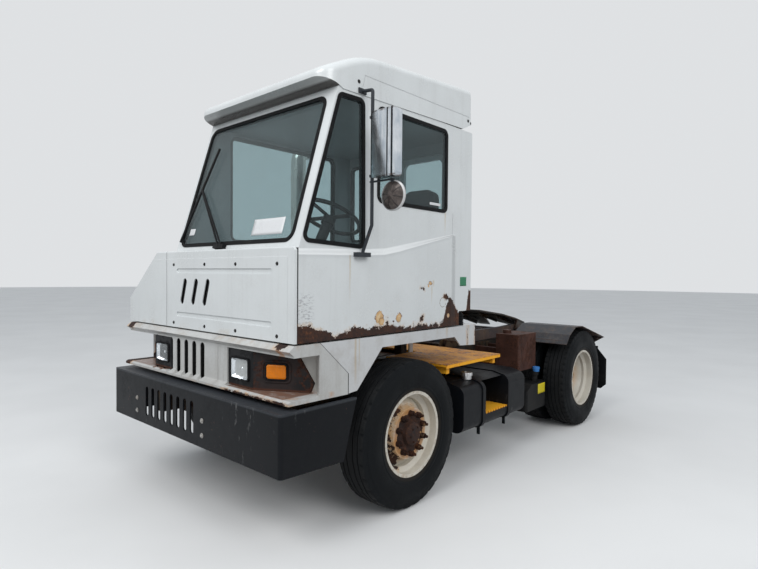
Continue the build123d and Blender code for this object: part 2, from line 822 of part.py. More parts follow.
def bezel(side):
    """Folded lamp plate in the pocket, pointed like an arrow towards the rear."""
    t = BEZEL_THICKNESS
    band = plan_profile(
        outline(
            [
                (POD_INNER_X + SEAT_GAP, POD_BACK_Y - SEAT_GAP),
                (POD_FOLD_X, POD_BACK_Y - SEAT_GAP),
                (POD_TIP_X, POD_TIP_Y - SEAT_GAP),
                (POD_TIP_X, POD_TIP_Y - t),
                (POD_FOLD_X, POD_BACK_Y - t),
                (POD_INNER_X + SEAT_GAP, POD_BACK_Y - t),
            ]
        ),
        POD_Z[0] + 4,
        POD_Z[1] - 4,
    )
    arrow = front_profile(
        outline(
            [
                (POD_INNER_X, POD_Z[0]),
                (POD_INNER_X, POD_Z[1]),
                (POD_TIP_X - 100, POD_Z[1]),
                (POD_TIP_X - 4, POD_Z[0] + 60),
                (POD_TIP_X - 26, POD_Z[0]),
            ],
            4,
        ),
        POD_BACK_Y - 60,
        POD_TIP_Y + 60,
    )
    plate = band & arrow
    plate -= head_lamp_space(SEAT_GAP)
    plate -= turn_lamp_space(SEAT_GAP)
    return plate if side > 0 else mirrored(plate)


LAMP_X = (419, 619)
LAMP_Z = (972, 1116)
TURN_ALONG = (120, 220)
TURN_Z = (1004, 1090)
LAMP_PROUD = 8


def head_lamp_space(gap):
    """Block of the square head lamp, through the bezel."""
    return block(
        (LAMP_X[0] - gap, LAMP_X[1] + gap),
        (POD_BACK_Y - BEZEL_THICKNESS - LAMP_PROUD, POD_BACK_Y - SEAT_GAP),
        (LAMP_Z[0] - gap, LAMP_Z[1] + gap),
    )


def turn_lamp_space(gap):
    """Block of the turn signal, standing on the slanted part of the bezel."""
    angle = math.degrees(math.atan2(POD_TIP_Y - POD_BACK_Y, POD_TIP_X - POD_FOLD_X))
    length = TURN_ALONG[1] - TURN_ALONG[0] + 2 * gap
    depth = BEZEL_THICKNESS + LAMP_PROUD
    height = TURN_Z[1] - TURN_Z[0] + 2 * gap
    middle = (TURN_ALONG[0] + TURN_ALONG[1]) / 2
    lamp = Pos(middle, -depth / 2 - 1.5, (TURN_Z[0] + TURN_Z[1]) / 2) * Box(length, depth, height)
    return Pos(POD_FOLD_X, POD_BACK_Y, 0) * Rot(0, 0, angle) * lamp


def pair_of(shape):
    """A piece and its mirror image as one node of two solids."""
    return Compound(children=[*shape.solids(), *mirrored(shape).solids()])


def fender(side):
    """Fender strip over the front wheel: side skin, top ledge and the arch's flange."""
    half = BODY_HALF_WIDTH
    top_front = FASCIA_TOP
    skin_face = outline(
        [
            (SEAM_TOP_Y + SEAT_GAP, top_front),
            (SEAM_LOW_Y + SEAT_GAP, SEAM_BEND_Z),
            (SEAM_LOW_Y + SEAT_GAP, FASCIA_LOW),
            (-517, 907),
            (-275, ARCH_TOP_Z + 4),
            (596, ARCH_TOP_Z),
            (676, 1083),
            (FENDER_REAR_Y, 1070),
            (FENDER_REAR_Y, FENDER_TOP_REAR),
        ]
    )
    skin = side_profile(skin_face, half - BODY_SKIN, half)
    ledge = side_profile(
        outline(
            [
                (SEAM_TOP_Y + 30, top_front),
                (FENDER_REAR_Y, FENDER_TOP_REAR),
                (FENDER_REAR_Y, FENDER_TOP_REAR - BODY_SKIN),
                (SEAM_TOP_Y + 30, top_front - BODY_SKIN),
            ]
        ),
        half - FENDER_LEDGE,
        half - BODY_SKIN,
    )
    brace = block(
        (RAIL_OUT, half - BODY_SKIN),
        (FENDER_REAR_Y - 60, FENDER_REAR_Y - 48),
        (FRAME_TOP + 160, FENDER_TOP_REAR - BODY_SKIN - 2),
    )
    brace += block(
        (RAIL_OUT, RAIL_OUT + 12), (FENDER_REAR_Y - 100, FENDER_REAR_Y - 48), (FRAME_TOP - 120, FENDER_TOP_REAR - 60)
    )
    solid = skin + ledge + brace
    return solid if side > 0 else mirrored(solid)


def cab_mounts():
    """Ribbed rubber drums under the rear corners of the cab, on brackets from the frame."""
    drums = []
    for x in DRUM_MOUNT_X:
        radius = 57
        section = [(0, DRUM_LOW)]
        for i in range(DRUM_RIBS):
            z = DRUM_LOW + i * (DRUM_HIGH - DRUM_LOW - 30) / DRUM_RIBS
            step = (DRUM_HIGH - DRUM_LOW - 30) / DRUM_RIBS
            section += [(radius, z), (radius, z + step * 0.6), (radius - 6, z + step * 0.65), (radius - 6, z + step)]
        section += [(radius - 8, DRUM_HIGH - 26), (26, DRUM_HIGH), (0, DRUM_HIGH)]
        face = Plane.XZ * Polygon(*section, align=None)
        drums.append(Pos(x, DRUM_Y, 0) * revolve(face, axis=Axis.Z))
    return Compound(children=drums)


DRUM_MOUNT_X = (987, -309)
DRUM_Y = 738
DRUM_LOW = FENDER_TOP_REAR + SEAT_GAP
DRUM_HIGH = NOTCH_Z - SEAT_GAP
DRUM_RIBS = 5


# Cab

def cab_outline():
    """Side view of the cab box."""
    return [
        (CAB_FRONT + PANEL_THICKNESS, CAB_LOW),
        (CAB_FRONT + PANEL_THICKNESS, COWL_Z - 20),
        (COWL_Y, COWL_Z),
        (HEADER_Y, HEADER_Z),
        (HEADER_Y + 20, CEILING_Z),
        (CAB_REAR, CEILING_Z),
        (CAB_REAR, CAB_LOW),
    ]


def cab_inside():
    """Side view of the space inside the cab walls."""
    w = CAB_WALL
    return [
        (CAB_FRONT + PANEL_THICKNESS + w, CAB_LOW + w),
        (CAB_FRONT + PANEL_THICKNESS + w, COWL_Z - w / 2),
        (HEADER_Y + w, HEADER_Z - w / 2),
        (HEADER_Y + w + 10, CEILING_Z - w),
        (CAB_REAR - w, CEILING_Z - w),
        (CAB_REAR - w, CAB_LOW + w),
    ]


def windscreen_plane():
    """Plane of the windscreen, its origin at the cowl."""
    rise = math.hypot(HEADER_Y - COWL_Y, HEADER_Z - COWL_Z)
    along = ((HEADER_Y - COWL_Y) / rise, (HEADER_Z - COWL_Z) / rise)
    return Plane(origin=(0, COWL_Y, COWL_Z), x_dir=(1, 0, 0), z_dir=(0, -along[1], along[0]))


def rectangle(corners, radius):
    """Rounded rectangle between two opposite corners."""
    (x0, y0), (x1, y1) = corners
    return outline([(x0, y0), (x1, y0), (x1, y1), (x0, y1)], radius)


def window_faces():
    """Each window as its opening, its plane and how deep its wall is."""
    screen = rectangle(
        ((WINDSCREEN_X[0], WINDSCREEN_SLOPE[0]), (WINDSCREEN_X[1], WINDSCREEN_SLOPE[1])), 78
    )
    left = Plane(origin=(CAB_LEFT, 0, 0), x_dir=(0, 1, 0), z_dir=(1, 0, 0))
    right = Plane(origin=(CAB_RIGHT, 0, 0), x_dir=(0, -1, 0), z_dir=(-1, 0, 0))
    back = Plane(origin=(0, CAB_REAR, 0), x_dir=(-1, 0, 0), z_dir=(0, 1, 0))
    return [
        (windscreen_plane(), screen, CAB_WALL + 12),
        (left, outline(QUARTER_WINDOW, 48), CAB_WALL),
        (left, rectangle(LEFT_WINDOW, 52), CAB_WALL),
        (right, rectangle(RIGHT_WINDOW, 62), CAB_WALL),
        (back, rectangle(REAR_WINDOW, 52), CAB_WALL),
    ]


def cab_shell():
    """Hollow cab box with its windows, rear doorway and the two rails that the door slides on."""
    shell = side_profile(outline(cab_outline()), CAB_RIGHT, CAB_LEFT)
    space = side_profile(outline(cab_inside()), CAB_RIGHT + CAB_WALL, CAB_LEFT - CAB_WALL)
    w = CAB_WALL
    left_x, right_x = NOTCH_X
    shell -= block((left_x, CAB_LEFT + 5), (NOTCH_Y, CAB_REAR + 5), (CAB_LOW - 5, NOTCH_Z))
    shell -= block((CAB_RIGHT - 5, right_x), (NOTCH_Y, CAB_REAR + 5), (CAB_LOW - 5, NOTCH_Z))
    space -= block((left_x - w, CAB_LEFT + 5), (NOTCH_Y - w, CAB_REAR + 5), (CAB_LOW - 5, NOTCH_Z + w))
    space -= block((CAB_RIGHT - 5, right_x + w), (NOTCH_Y - w, CAB_REAR + 5), (CAB_LOW - 5, NOTCH_Z + w))
    shell -= space
    for plane, face, depth in window_faces():
        shell -= raised(face, plane, -depth - 20, 40)
    shell -= front_profile(rectangle(DOORWAY, 60), CAB_REAR - CAB_WALL - 5, CAB_REAR + 5)
    for rail_solid in door_rails():
        shell += rail_solid
    return shell


def door_rails():
    """Upper C-rail with a slot below for the hangers, and the lower guide rail."""
    (x0, z0), (x1, z1) = DOORWAY
    left_end = x1 + DOOR_OVERLAP + 10
    right_end = x0 - DOOR_OVERLAP - DOOR_TRAVEL - 10
    top = z1 + DOOR_OVERLAP + 12
    depth = DOOR_GAP + DOOR_THICKNESS
    middle = CAB_REAR + DOOR_GAP + DOOR_THICKNESS / 2
    upper = block((right_end, left_end), (CAB_REAR, CAB_REAR + depth + 6), (top, top + 46))
    upper -= block((right_end - 5, left_end + 5), (middle - 13, middle + 13), (top + 6, top + 40))
    upper -= block((right_end - 5, left_end + 5), (middle - 5, middle + 5), (top - 1, top + 7))
    low = z0 - DOOR_OVERLAP - 12
    lower = block((right_end, left_end), (CAB_REAR, CAB_REAR + depth + 6), (low - 30, low))
    lower -= block((right_end - 5, left_end + 5), (middle - 6, middle + 6), (low - 14, low + 1))
    return [upper, lower]


def rear_door():
    """Sliding door panel with its window opening, hangers with rollers, guide tongue and grab handle."""
    (x0, z0), (x1, z1) = DOORWAY
    left, right = x1 + DOOR_OVERLAP, x0 - DOOR_OVERLAP
    low, high = z0 - DOOR_OVERLAP, z1 + DOOR_OVERLAP
    y0 = CAB_REAR + DOOR_GAP
    y1 = y0 + DOOR_THICKNESS
    middle = (y0 + y1) / 2
    door = front_profile(rectangle(((right, low), (left, high)), 30), y0, y1)
    door -= front_profile(door_window(0), y0 - 5, y1 + 5)
    rail_low = z1 + DOOR_OVERLAP + 12
    for x in (right + 90, left - 90):
        door += block((x - 30, x + 30), (middle - 3, middle + 3), (high - 10, rail_low + 24))
        door += rod((x, middle - 11, rail_low + 6 + SEAT_GAP + ROLLER_RADIUS), (x, middle + 11, rail_low + 6 + SEAT_GAP + ROLLER_RADIUS), ROLLER_RADIUS)
    door += block((right + 20, left - 20), (middle - 4, middle + 4), (low - 22, low + 5))
    door += tube(
        [
            (left - 60, y1 - 2, 2050),
            (left - 60, y1 + 55, 2050),
            (left - 60, y1 + 55, 2350),
            (left - 60, y1 - 2, 2350),
        ],
        11,
        30,
    )
    return door


def door_window(inset):
    """Opening of the door window, or the glass when inset."""
    (x0, _), (x1, z1) = DOORWAY
    return rectangle(((x0 + 40 + inset, 1900 + inset), (x1 - 110 - inset, z1 - 40 - inset)), 50)


def rear_door_glass():
    """Glass of the sliding door."""
    middle = CAB_REAR + DOOR_GAP + DOOR_THICKNESS / 2
    return front_profile(door_window(SEAT_GAP), middle - GLASS_THICKNESS / 2, middle + GLASS_THICKNESS / 2)


def window_parts():
    """Rubber seals and panes of the cab windows."""
    seals, panes = [], []
    for plane, face, depth in window_faces():
        inner = offset(face, amount=-SEAL_WIDTH)
        outer = offset(face, amount=-SEAT_GAP)
        ring = outer - inner
        seal = raised(ring, plane, -(CAB_WALL - 8), SEAL_PROUD)
        seals.append(seal.solids()[0])
        pane_face = offset(face, amount=-SEAL_WIDTH - SEAT_GAP)
        pane = raised(pane_face, plane, -6 - GLASS_THICKNESS, -6)
        panes.append(pane.solids()[0])
    return Compound(children=seals), Compound(children=panes)


def front_panel():
    """Pressed front panel across cab and shoulder, with two long grooves and three slanted slots."""
    face = outline(
        [
            (BODY_HALF_WIDTH, CAB_LOW),
            (BODY_HALF_WIDTH, COWL_Z - 22),
            (BODY_HALF_WIDTH - 20, COWL_Z),
            (SHOULDER_SLOPE_X, SHOULDER_TOP),
            (SHOULDER_RIGHT - 8, SHOULDER_LOW),
            (SHOULDER_RIGHT, CAB_LOW),
        ]
    )
    panel = front_profile(face, CAB_FRONT, CAB_FRONT + PANEL_THICKNESS)
    upper = panel.edges().filter_by(Axis.X).sort_by(Axis.Z)[-2:]
    front_edge = [e for e in upper if abs(e.center().Y - CAB_FRONT) < 1]
    panel = fillet(front_edge, 12)
    for z in GROOVE_Z:
        groove = Pos((GROOVE_X[0] + GROOVE_X[1]) / 2, z) * SlotOverall(GROOVE_X[1] - GROOVE_X[0], GROOVE_HEIGHT)
        panel -= front_profile(groove, CAB_FRONT - 1, CAB_FRONT + GROOVE_DEPTH)
    for cutter in slots((-214, 142), (1423, 1616), 50, 3, CAB_FRONT - 5, CAB_FRONT + PANEL_THICKNESS + 5, 18):
        panel -= cutter
    return panel


GROOVE_Z = (1350, 1667)
GROOVE_X = (-291, 857)
GROOVE_HEIGHT = 34
GROOVE_DEPTH = 8


def shoulder():
    """Cover beside the cab over the engine's air side, of one section from front to rear."""
    y0 = CAB_FRONT + PANEL_THICKNESS
    outer = [
        (CAB_RIGHT, CAB_LOW),
        (CAB_RIGHT, SHOULDER_TOP),
        (SHOULDER_SLOPE_X, SHOULDER_TOP),
        (SHOULDER_RIGHT - 8, SHOULDER_LOW),
        (SHOULDER_RIGHT, CAB_LOW),
    ]
    s = BODY_SKIN
    inner = [
        (CAB_RIGHT - s, CAB_LOW - 5),
        (CAB_RIGHT - s, SHOULDER_TOP - s),
        (SHOULDER_SLOPE_X + 3, SHOULDER_TOP - s),
        (SHOULDER_RIGHT + s - 4, SHOULDER_LOW - 4),
        (SHOULDER_RIGHT + s, CAB_LOW - 5),
    ]
    cover = front_profile(outline(outer), y0, SHOULDER_REAR)
    cover -= front_profile(outline(inner), y0 - 5, SHOULDER_REAR - s)
    return cover


def roof_plan(x0, x1):
    """Upright block with the roof's plan: broad round corners at the visor, small ones at the rear."""
    y0, y1 = VISOR_Y, CAB_REAR + 5
    plan = block((x0, x1), (y0, y1), (SKIRT_FRONT_Z - 50, ROOF_REAR_TOP + 50))
    upright = plan.edges().filter_by(Axis.Z)
    plan = fillet([e for e in upright if e.center().Y > y1 - 1], ROOF_REAR_CORNER)
    upright = plan.edges().filter_by(Axis.Z)
    return fillet([e for e in upright if e.center().Y < y0 + 1], VISOR_CORNER)


def top_rim(cap):
    """Edges round the outside of the roof's top faces."""
    rim = [e for f in cap.faces() if f.normal_at().Z > 0.3 for e in f.edges()]
    shared = [sum((e.center() - k.center()).length < 0.001 for k in rim) for e in rim]
    return [e for e, count in zip(rim, shared) if count == 1]


def roof():
    """Roof cap: low visor in front, rising to the rear, with its skirt below the gutter."""
    side = outline(
        [
            (VISOR_Y, VISOR_TOP_Z),
            (VISOR_Y, VISOR_LOW_Z),
            (HEADER_Y - 10, HEADER_Z + 12),
            (HEADER_Y + 40, SKIRT_FRONT_Z),
            (673, SKIRT_REAR_Z),
            (793, 2877),
            (CAB_REAR + 5, 2884),
            (CAB_REAR + 5, ROOF_REAR_TOP),
            ROOF_KNEE,
        ]
    )
    o = ROOF_OVERHANG
    cap = side_profile(side, CAB_RIGHT - o, CAB_LEFT + o)
    across = [e for e in cap.edges() if abs(e.tangent_at(0.5).X) > 0.99]
    knee = [e for e in across if abs(e.center().Y - ROOF_KNEE[0]) < 1 and abs(e.center().Z - ROOF_KNEE[1]) < 1]
    cap = fillet(knee, ROOF_BEND)
    cap &= roof_plan(CAB_RIGHT - o, CAB_LEFT + o)
    cap = fillet(top_rim(cap), ROOF_EDGE)
    inner = outline(
        [
            (HEADER_Y - SEAT_GAP, HEADER_Z - 40),
            (HEADER_Y - SEAT_GAP, HEADER_Z),
            (HEADER_Y + 20, CEILING_Z),
            (CAB_REAR + SEAT_GAP, CEILING_Z),
            (CAB_REAR + SEAT_GAP, CEILING_Z - 60),
        ]
    )
    cap -= side_profile(inner, CAB_RIGHT - SEAT_GAP, CAB_LEFT + SEAT_GAP)
    hollow = outline(
        [
            (HEADER_Y + 60, CEILING_Z - 1),
            (HEADER_Y + 60, 2900),
            (ROOF_KNEE[0], ROOF_KNEE[1] - ROOF_SKIN),
            (CAB_REAR - ROOF_SKIN, ROOF_REAR_TOP - ROOF_SKIN - 5),
            (CAB_REAR - ROOF_SKIN, CEILING_Z - 1),
        ]
    )
    cap -= side_profile(hollow, CAB_RIGHT + ROOF_SKIN, CAB_LEFT - ROOF_SKIN)
    return cap


SEAT_X = (420, 880)
SEAT_Y = (60, 560)
FLOOR_TOP = CAB_LOW + CAB_WALL
CUSHION_TOP = 1800


def seat():
    """Driver's chair: pedestal, cushion, tall back and head rest."""
    x0, x1 = SEAT_X
    y0, y1 = SEAT_Y
    middle = (x0 + x1) / 2
    pedestal = block((middle - 130, middle + 130), (y0 + 90, y1 - 90), (FLOOR_TOP, CUSHION_TOP - 130))
    cushion = block((x0, x1), (y0, y1), (CUSHION_TOP - 130, CUSHION_TOP))
    cushion = fillet(cushion.edges().filter_by(Axis.Z), 60)
    back = side_profile(
        outline(
            [
                (y1 - 110, CUSHION_TOP - 60),
                (y1 + 20, CUSHION_TOP - 60),
                (y1 + 120, 2370),
                (y1 + 40, 2370),
            ]
        ),
        x0 + 10,
        x1 - 10,
    )
    return pedestal + cushion + back


def dash():
    """Dashboard across the cab with the steering column's shroud."""
    face = outline(
        [
            (CAB_FRONT + PANEL_THICKNESS + CAB_WALL, 1500),
            (CAB_FRONT + PANEL_THICKNESS + CAB_WALL, COWL_Z - 50),
            (-760, COWL_Z - 10),
            (-620, COWL_Z - 40),
            (-640, 1560),
            (-760, 1500),
        ]
    )
    board = side_profile(face, CAB_RIGHT + CAB_WALL, CAB_LEFT - CAB_WALL)
    column = rod(COLUMN_LOW, COLUMN_HIGH, 38)
    column += block((STEER_CENTRE[0] - 40, STEER_CENTRE[0] + 40), (-720, -550), (1610, 1690))
    return board + column


STEER_CENTRE = (600, -330, 2060)
COLUMN_TILT = 28
COLUMN_DIR = (0, math.sin(math.radians(COLUMN_TILT)), math.cos(math.radians(COLUMN_TILT)))
COLUMN_HIGH = tuple(c - 60 * d for c, d in zip(STEER_CENTRE, COLUMN_DIR))
COLUMN_LOW = tuple(c - 560 * d for c, d in zip(STEER_CENTRE, COLUMN_DIR))
STEERING_RADIUS = 225
STEERING_GRIP = 15


def steering_wheel():
    """Steering wheel with two spokes and its hub on the end of the column."""
    plane = Plane(origin=STEER_CENTRE, x_dir=(1, 0, 0), z_dir=COLUMN_DIR)
    ring = plane * Torus(STEERING_RADIUS, STEERING_GRIP)
    hub = plane * Pos(0, 0, -30) * Cylinder(48, 58)
    spokes = plane * (Box(2 * STEERING_RADIUS - 10, 34, 10) + Pos(0, -STEERING_RADIUS / 2, 0) * Box(34, STEERING_RADIUS - 6, 10))
    return ring + hub + spokes


# Mirror on the left

MIRROR_Y = -500
MIRROR_TUBE = 11
MIRROR_BAR_X = 1168


def mirror_bracket():
    """Bent tube from the roof line to the belt line, with a stay and two clamps for the mirrors."""
    wall = CAB_LEFT
    bar = tube(
        [
            (wall + ROOF_OVERHANG + 4, MIRROR_Y, 2816),
            (MIRROR_BAR_X, MIRROR_Y, 2806),
            (MIRROR_BAR_X, MIRROR_Y, 1962),
            (wall + 26, MIRROR_Y, 1800),
            (wall + 26, MIRROR_Y, 1770),
        ],
        MIRROR_TUBE,
        14,
    )
    bar += block((wall, wall + 40), (MIRROR_Y - 60, MIRROR_Y + 60), (1764, 1792))
    plate_x = wall + ROOF_OVERHANG + SEAT_GAP
    bar += block((plate_x, plate_x + 10), (MIRROR_Y - 34, MIRROR_Y + 34), (2800, 2832))
    bar += block((MIRROR_BAR_X - 14, HEAD_X[0] + 4), (MIRROR_Y - 12, MIRROR_Y + 12), (HEAD_Z[1] - 30, HEAD_Z[1] - 14))
    bar += block((MIRROR_BAR_X - 14, HEAD_X[0] + 4), (MIRROR_Y - 12, MIRROR_Y + 12), (HEAD_Z[0] + 14, HEAD_Z[0] + 30))
    bar += block((MIRROR_BAR_X - 14, ROUND_X), (MIRROR_Y - 8, MIRROR_Y + 8), (HEAD_Z[0] - 19, HEAD_Z[0] - 9))
    bar += block((ROUND_X - 10, ROUND_X + 10), (MIRROR_Y - 8, MIRROR_Y + 8), (ROUND_Z + 40, HEAD_Z[0] - 12))
    return bar


HEAD_X = (1196, MIRROR_OUTER_X)
HEAD_Z = (2246, 2656)
ROUND_X = 1340
ROUND_Z = 2132
ROUND_RADIUS = 93


def mirror_heads():
    """Rectangular mirror head with rounded back, and the round wide-angle mirror below."""
    y0 = MIRROR_Y - 46
    head = block(HEAD_X, (y0, MIRROR_Y + 20), HEAD_Z)
    head = fillet(head.edges().filter_by(Axis.Y), 24)
    g = SEAT_GAP
    for low, high in ((HEAD_Z[1] - 30, HEAD_Z[1] - 14), (HEAD_Z[0] + 14, HEAD_Z[0] + 30)):
        head -= block((MIRROR_BAR_X, HEAD_X[0] + 4 + g), (MIRROR_Y - 12 - g, MIRROR_Y + 12 + g), (low - g, high + g))
    bowl_face = Polygon((0, -34), (0, 10), (ROUND_RADIUS, 10), (ROUND_RADIUS, 0), (60, -26), align=None)
    bowl = Pos(ROUND_X, MIRROR_Y, ROUND_Z) * revolve(Plane.XY * bowl_face, axis=Axis.Y)
    bowl -= block((ROUND_X - 10 - g, ROUND_X + 10 + g), (MIRROR_Y - 8 - g, MIRROR_Y + 8 + g), (ROUND_Z + 40 - g, ROUND_Z + 120))
    return Compound(children=[head.solids()[0], bowl.solids()[0]])


def wiper():
    """Parked wiper: pivot block on the cowl, twin arm and blade along the windscreen's edge."""
    plane = windscreen_plane()
    lift = SEAL_PROUD + 14
    pivot = plane * Pos(WIPER_PIVOT_X, 14, lift / 2 + 6) * Box(120, 26, lift + 10)
    arm = None
    for shift in (0, 34):
        start = plane.from_local_coords((WIPER_PIVOT_X + shift, 14, lift + 6))
        end = plane.from_local_coords((WIPER_TIP[0] + shift / 3, WIPER_TIP[1], lift + 6))
        bar = rod(tuple(start), tuple(end), 7)
        arm = bar if arm is None else arm + bar
    start = plane.from_local_coords((*BLADE_LOW, lift + 4))
    end = plane.from_local_coords((*BLADE_HIGH, lift + 4))
    return pivot + arm + rod(tuple(start), tuple(end), 9)


WIPER_PIVOT_X = 250
WIPER_TIP = (-180, 460)
BLADE_LOW = (-285, 60)
BLADE_HIGH = (-100, 790)


# Lifting boom, fifth wheel and cylinders

def boom_pedestal():
    """Two pairs of upright plates on the rails that hold the boom's pivot pins."""
    y, z = BOOM_PIVOT
    plates = []
    for _, side in SIDES:
        for x in (BOOM_ARM_X - BOOM_ARM_WIDTH / 2 - 22, BOOM_ARM_X + BOOM_ARM_WIDTH / 2 + 8):
            face = outline([(y - 130, FRAME_TOP), (y + 130, FRAME_TOP), (y + 60, z + 62), (y - 60, z + 62)], 10)
            plates.append(side_profile(face, side * x, side * (x + 14)))
        pin_in = side * (BOOM_ARM_X - BOOM_ARM_WIDTH / 2 - 22)
        pin_out = side * (BOOM_ARM_X + BOOM_ARM_WIDTH / 2 + 22)
        plates.append(rod((pin_in, y, z), (pin_out, y, z), BOOM_PIN_RADIUS))
    left = plates[0] + plates[1] + plates[2]
    right = plates[3] + plates[4] + plates[5]
    return Compound(children=[*left.solids(), *right.solids()])


def boom():
    """Boom: two arms from the pivot pins to the fifth wheel's shaft, tied by two cross-tubes."""
    y0, z0 = BOOM_PIVOT
    y1, z1 = FIFTH_PIVOT
    frame_solid = None
    for _, side in SIDES:
        x0 = side * (BOOM_ARM_X - BOOM_ARM_WIDTH / 2)
        x1 = side * (BOOM_ARM_X + BOOM_ARM_WIDTH / 2)
        face = outline(
            [
                (y0 - 60, z0 - 40),
                (y0 - 60, z0 + 40),
                (y0 + 40, BOOM_ARM_TOP),
                (y1 - 330, BOOM_ARM_TOP),
                (y1 - 70, z1 + 30),
                (y1 + 50, z1 + 30),
                (y1 + 60, z1 - 50),
                (y1 - 60, BOOM_ARM_LOW + 10),
                (y0 + 60, BOOM_ARM_LOW + 8),
            ],
            12,
        )
        arm = side_profile(face, x0, x1)
        arm -= rod((x0 - 5 * side, y0, z0), (x1 + 5 * side, y0, z0), BOOM_PIN_RADIUS + BEARING_CLEARANCE)
        frame_solid = arm if frame_solid is None else frame_solid + arm
    inside = BOOM_ARM_X - BOOM_ARM_WIDTH / 2 + 2
    frame_solid += rod((-inside, y0 + 190, 1005), (inside, y0 + 190, 1005), 45)
    frame_solid += rod((-inside, ROD_EYE[0] + 110, 1000), (inside, ROD_EYE[0] + 110, 1000), 45)
    frame_solid += block((-inside, inside), (y1 - 55, y1 + 40), (BOOM_ARM_LOW + 14, BOOM_ARM_LOW + 34))
    pin_end = BOOM_ARM_X + BOOM_ARM_WIDTH / 2 + 26
    for _, side in SIDES:
        frame_solid += rod((side * BOOM_ARM_X, y1, z1), (side * pin_end, y1, z1), BOOM_PIN_RADIUS)
    for _, side in SIDES:
        for x in (CYLINDER_X - 44, CYLINDER_X + 30):
            lug = side_profile(
                outline(
                    [
                        (ROD_EYE[0] - 40, ROD_EYE[1] - 40),
                        (ROD_EYE[0] - 40, ROD_EYE[1] + 40),
                        (ROD_EYE[0] + 120, 1040),
                        (ROD_EYE[0] + 120, 960),
                    ],
                    12,
                ),
                side * x,
                side * (x + 14),
            )
            frame_solid += lug
        frame_solid += rod(
            (side * (CYLINDER_X - 44), *ROD_EYE), (side * (CYLINDER_X + 44), *ROD_EYE), CYLINDER_PIN_RADIUS
        )
    return frame_solid


def cylinder_axis():
    """Unit direction and length from the barrel's eye to the rod's eye, in (y, z)."""
    dy = ROD_EYE[0] - BARREL_EYE[0]
    dz = ROD_EYE[1] - BARREL_EYE[1]
    length = math.hypot(dy, dz)
    return (dy / length, dz / length), length


def along(distance, x):
    """Point on a lift cylinder's axis, measured from the barrel's eye."""
    (uy, uz), _ = cylinder_axis()
    return (x, BARREL_EYE[0] + uy * distance, BARREL_EYE[1] + uz * distance)


def lift_barrel(side):
    """Cylinder barrel with its eye, bored for the rod."""
    x = side * CYLINDER_X
    barrel = rod(along(BARREL_START, x), along(BARREL_LENGTH, x), BARREL_RADIUS)
    barrel += rod(along(0, x), along(BARREL_START + 5, x), 24)
    barrel += rod((x - 24, *BARREL_EYE), (x + 24, *BARREL_EYE), 42)
    barrel -= rod(along(BARREL_START + 20, x), along(BARREL_LENGTH - 30, x), BARREL_BORE)
    barrel -= rod(along(BARREL_LENGTH - 31, x), along(BARREL_LENGTH + 5, x), ROD_RADIUS + BEARING_CLEARANCE)
    barrel -= rod((x - 30, *BARREL_EYE), (x + 30, *BARREL_EYE), CYLINDER_PIN_RADIUS + BEARING_CLEARANCE)
    return barrel


def lift_rod(side):
    """Piston rod with its piston and its eye round the boom's pin."""
    x = side * CYLINDER_X
    _, length = cylinder_axis()
    piston = rod(along(BARREL_START + 25, x), along(BARREL_START + 65, x), BARREL_BORE - BEARING_CLEARANCE)
    piston += rod(along(BARREL_START + 60, x), along(length - 30, x), ROD_RADIUS)
    piston += rod((x - 24, *ROD_EYE), (x + 24, *ROD_EYE), 40)
    piston -= rod((x - 30, *ROD_EYE), (x + 30, *ROD_EYE), CYLINDER_PIN_RADIUS + ROD_EYE_CLEARANCE)
    return piston


ROD_EYE_CLEARANCE = 9


def cylinder_mounts():
    """Cross-member between the rails with lugs and pins for the cylinders' barrels."""
    y, z = BARREL_EYE
    inside = RAIL_OUT - RAIL_WALL
    low = FRAME_BOTTOM + RAIL_WALL
    solid = block((-inside, inside), (y - 115, y - 65), (low, low + 110))
    solid -= block((-inside + 12, inside - 12), (y - 103, y - 64), (low + 12, low + 98))
    for _, side in SIDES:
        for x in (CYLINDER_X - 40, CYLINDER_X + 26):
            face = outline(
                [
                    (y - 110, low + 2),
                    (y - 110, low + 108),
                    (y - 64, low + 108),
                    (y + 34, z + 24),
                    (y + 34, z - 34),
                    (y - 34, z - 34),
                ],
                6,
            )
            solid += side_profile(face, side * x, side * (x + 14))
        solid += rod((side * (CYLINDER_X - 40), y, z), (side * (CYLINDER_X + 40), y, z), CYLINDER_PIN_RADIUS)
    return solid


def fifth_wheel_flat():
    """Fifth wheel plate level about its own shaft: kingpin bore, flared throat, ramps and side brackets."""
    t = FIFTH_THICKNESS
    top = FIFTH_OFFSET
    w = FIFTH_HALF_WIDTH
    f, r = -FIFTH_FRONT, FIFTH_REAR
    face = outline(
        [
            (-w * 0.42, f),
            (w * 0.42, f),
            (w * 0.86, f + 150),
            (w, f + 360),
            (w, 120),
            (w * 0.72, r),
            (THROAT_MOUTH, r),
            (KINGPIN_BORE, 60),
            (-KINGPIN_BORE, 60),
            (-THROAT_MOUTH, r),
            (-w * 0.72, r),
            (-w, 120),
            (-w, f + 360),
            (-w * 0.86, f + 150),
        ],
    )
    face = face - Circle(KINGPIN_BORE)
    face = face - Pos(0, 40) * Rectangle(2 * KINGPIN_BORE, 80)
    plate = plan_profile(face, top - t, top)
    for _, side in SIDES:
        plate += block((side * (BOOM_ARM_X + BOOM_ARM_WIDTH / 2 + 6), side * (BOOM_ARM_X + BOOM_ARM_WIDTH / 2 + 26)), (-70, 70), (-46, top - t + 2))
        plate += block((side * 300, side * 316), (-260, 300), (top - t - 26, top - t + 2))
        plate += block((side * 120, side * 136), (-380, 40), (top - t - 26, top - t + 2))
    plate += block((-320, 320), (-300, -284), (top - t - 26, top - t + 2))
    shaft = rod((-BOOM_ARM_X - 80, 0, 0), (BOOM_ARM_X + 80, 0, 0), BOOM_PIN_RADIUS + BEARING_CLEARANCE)
    return plate - shaft


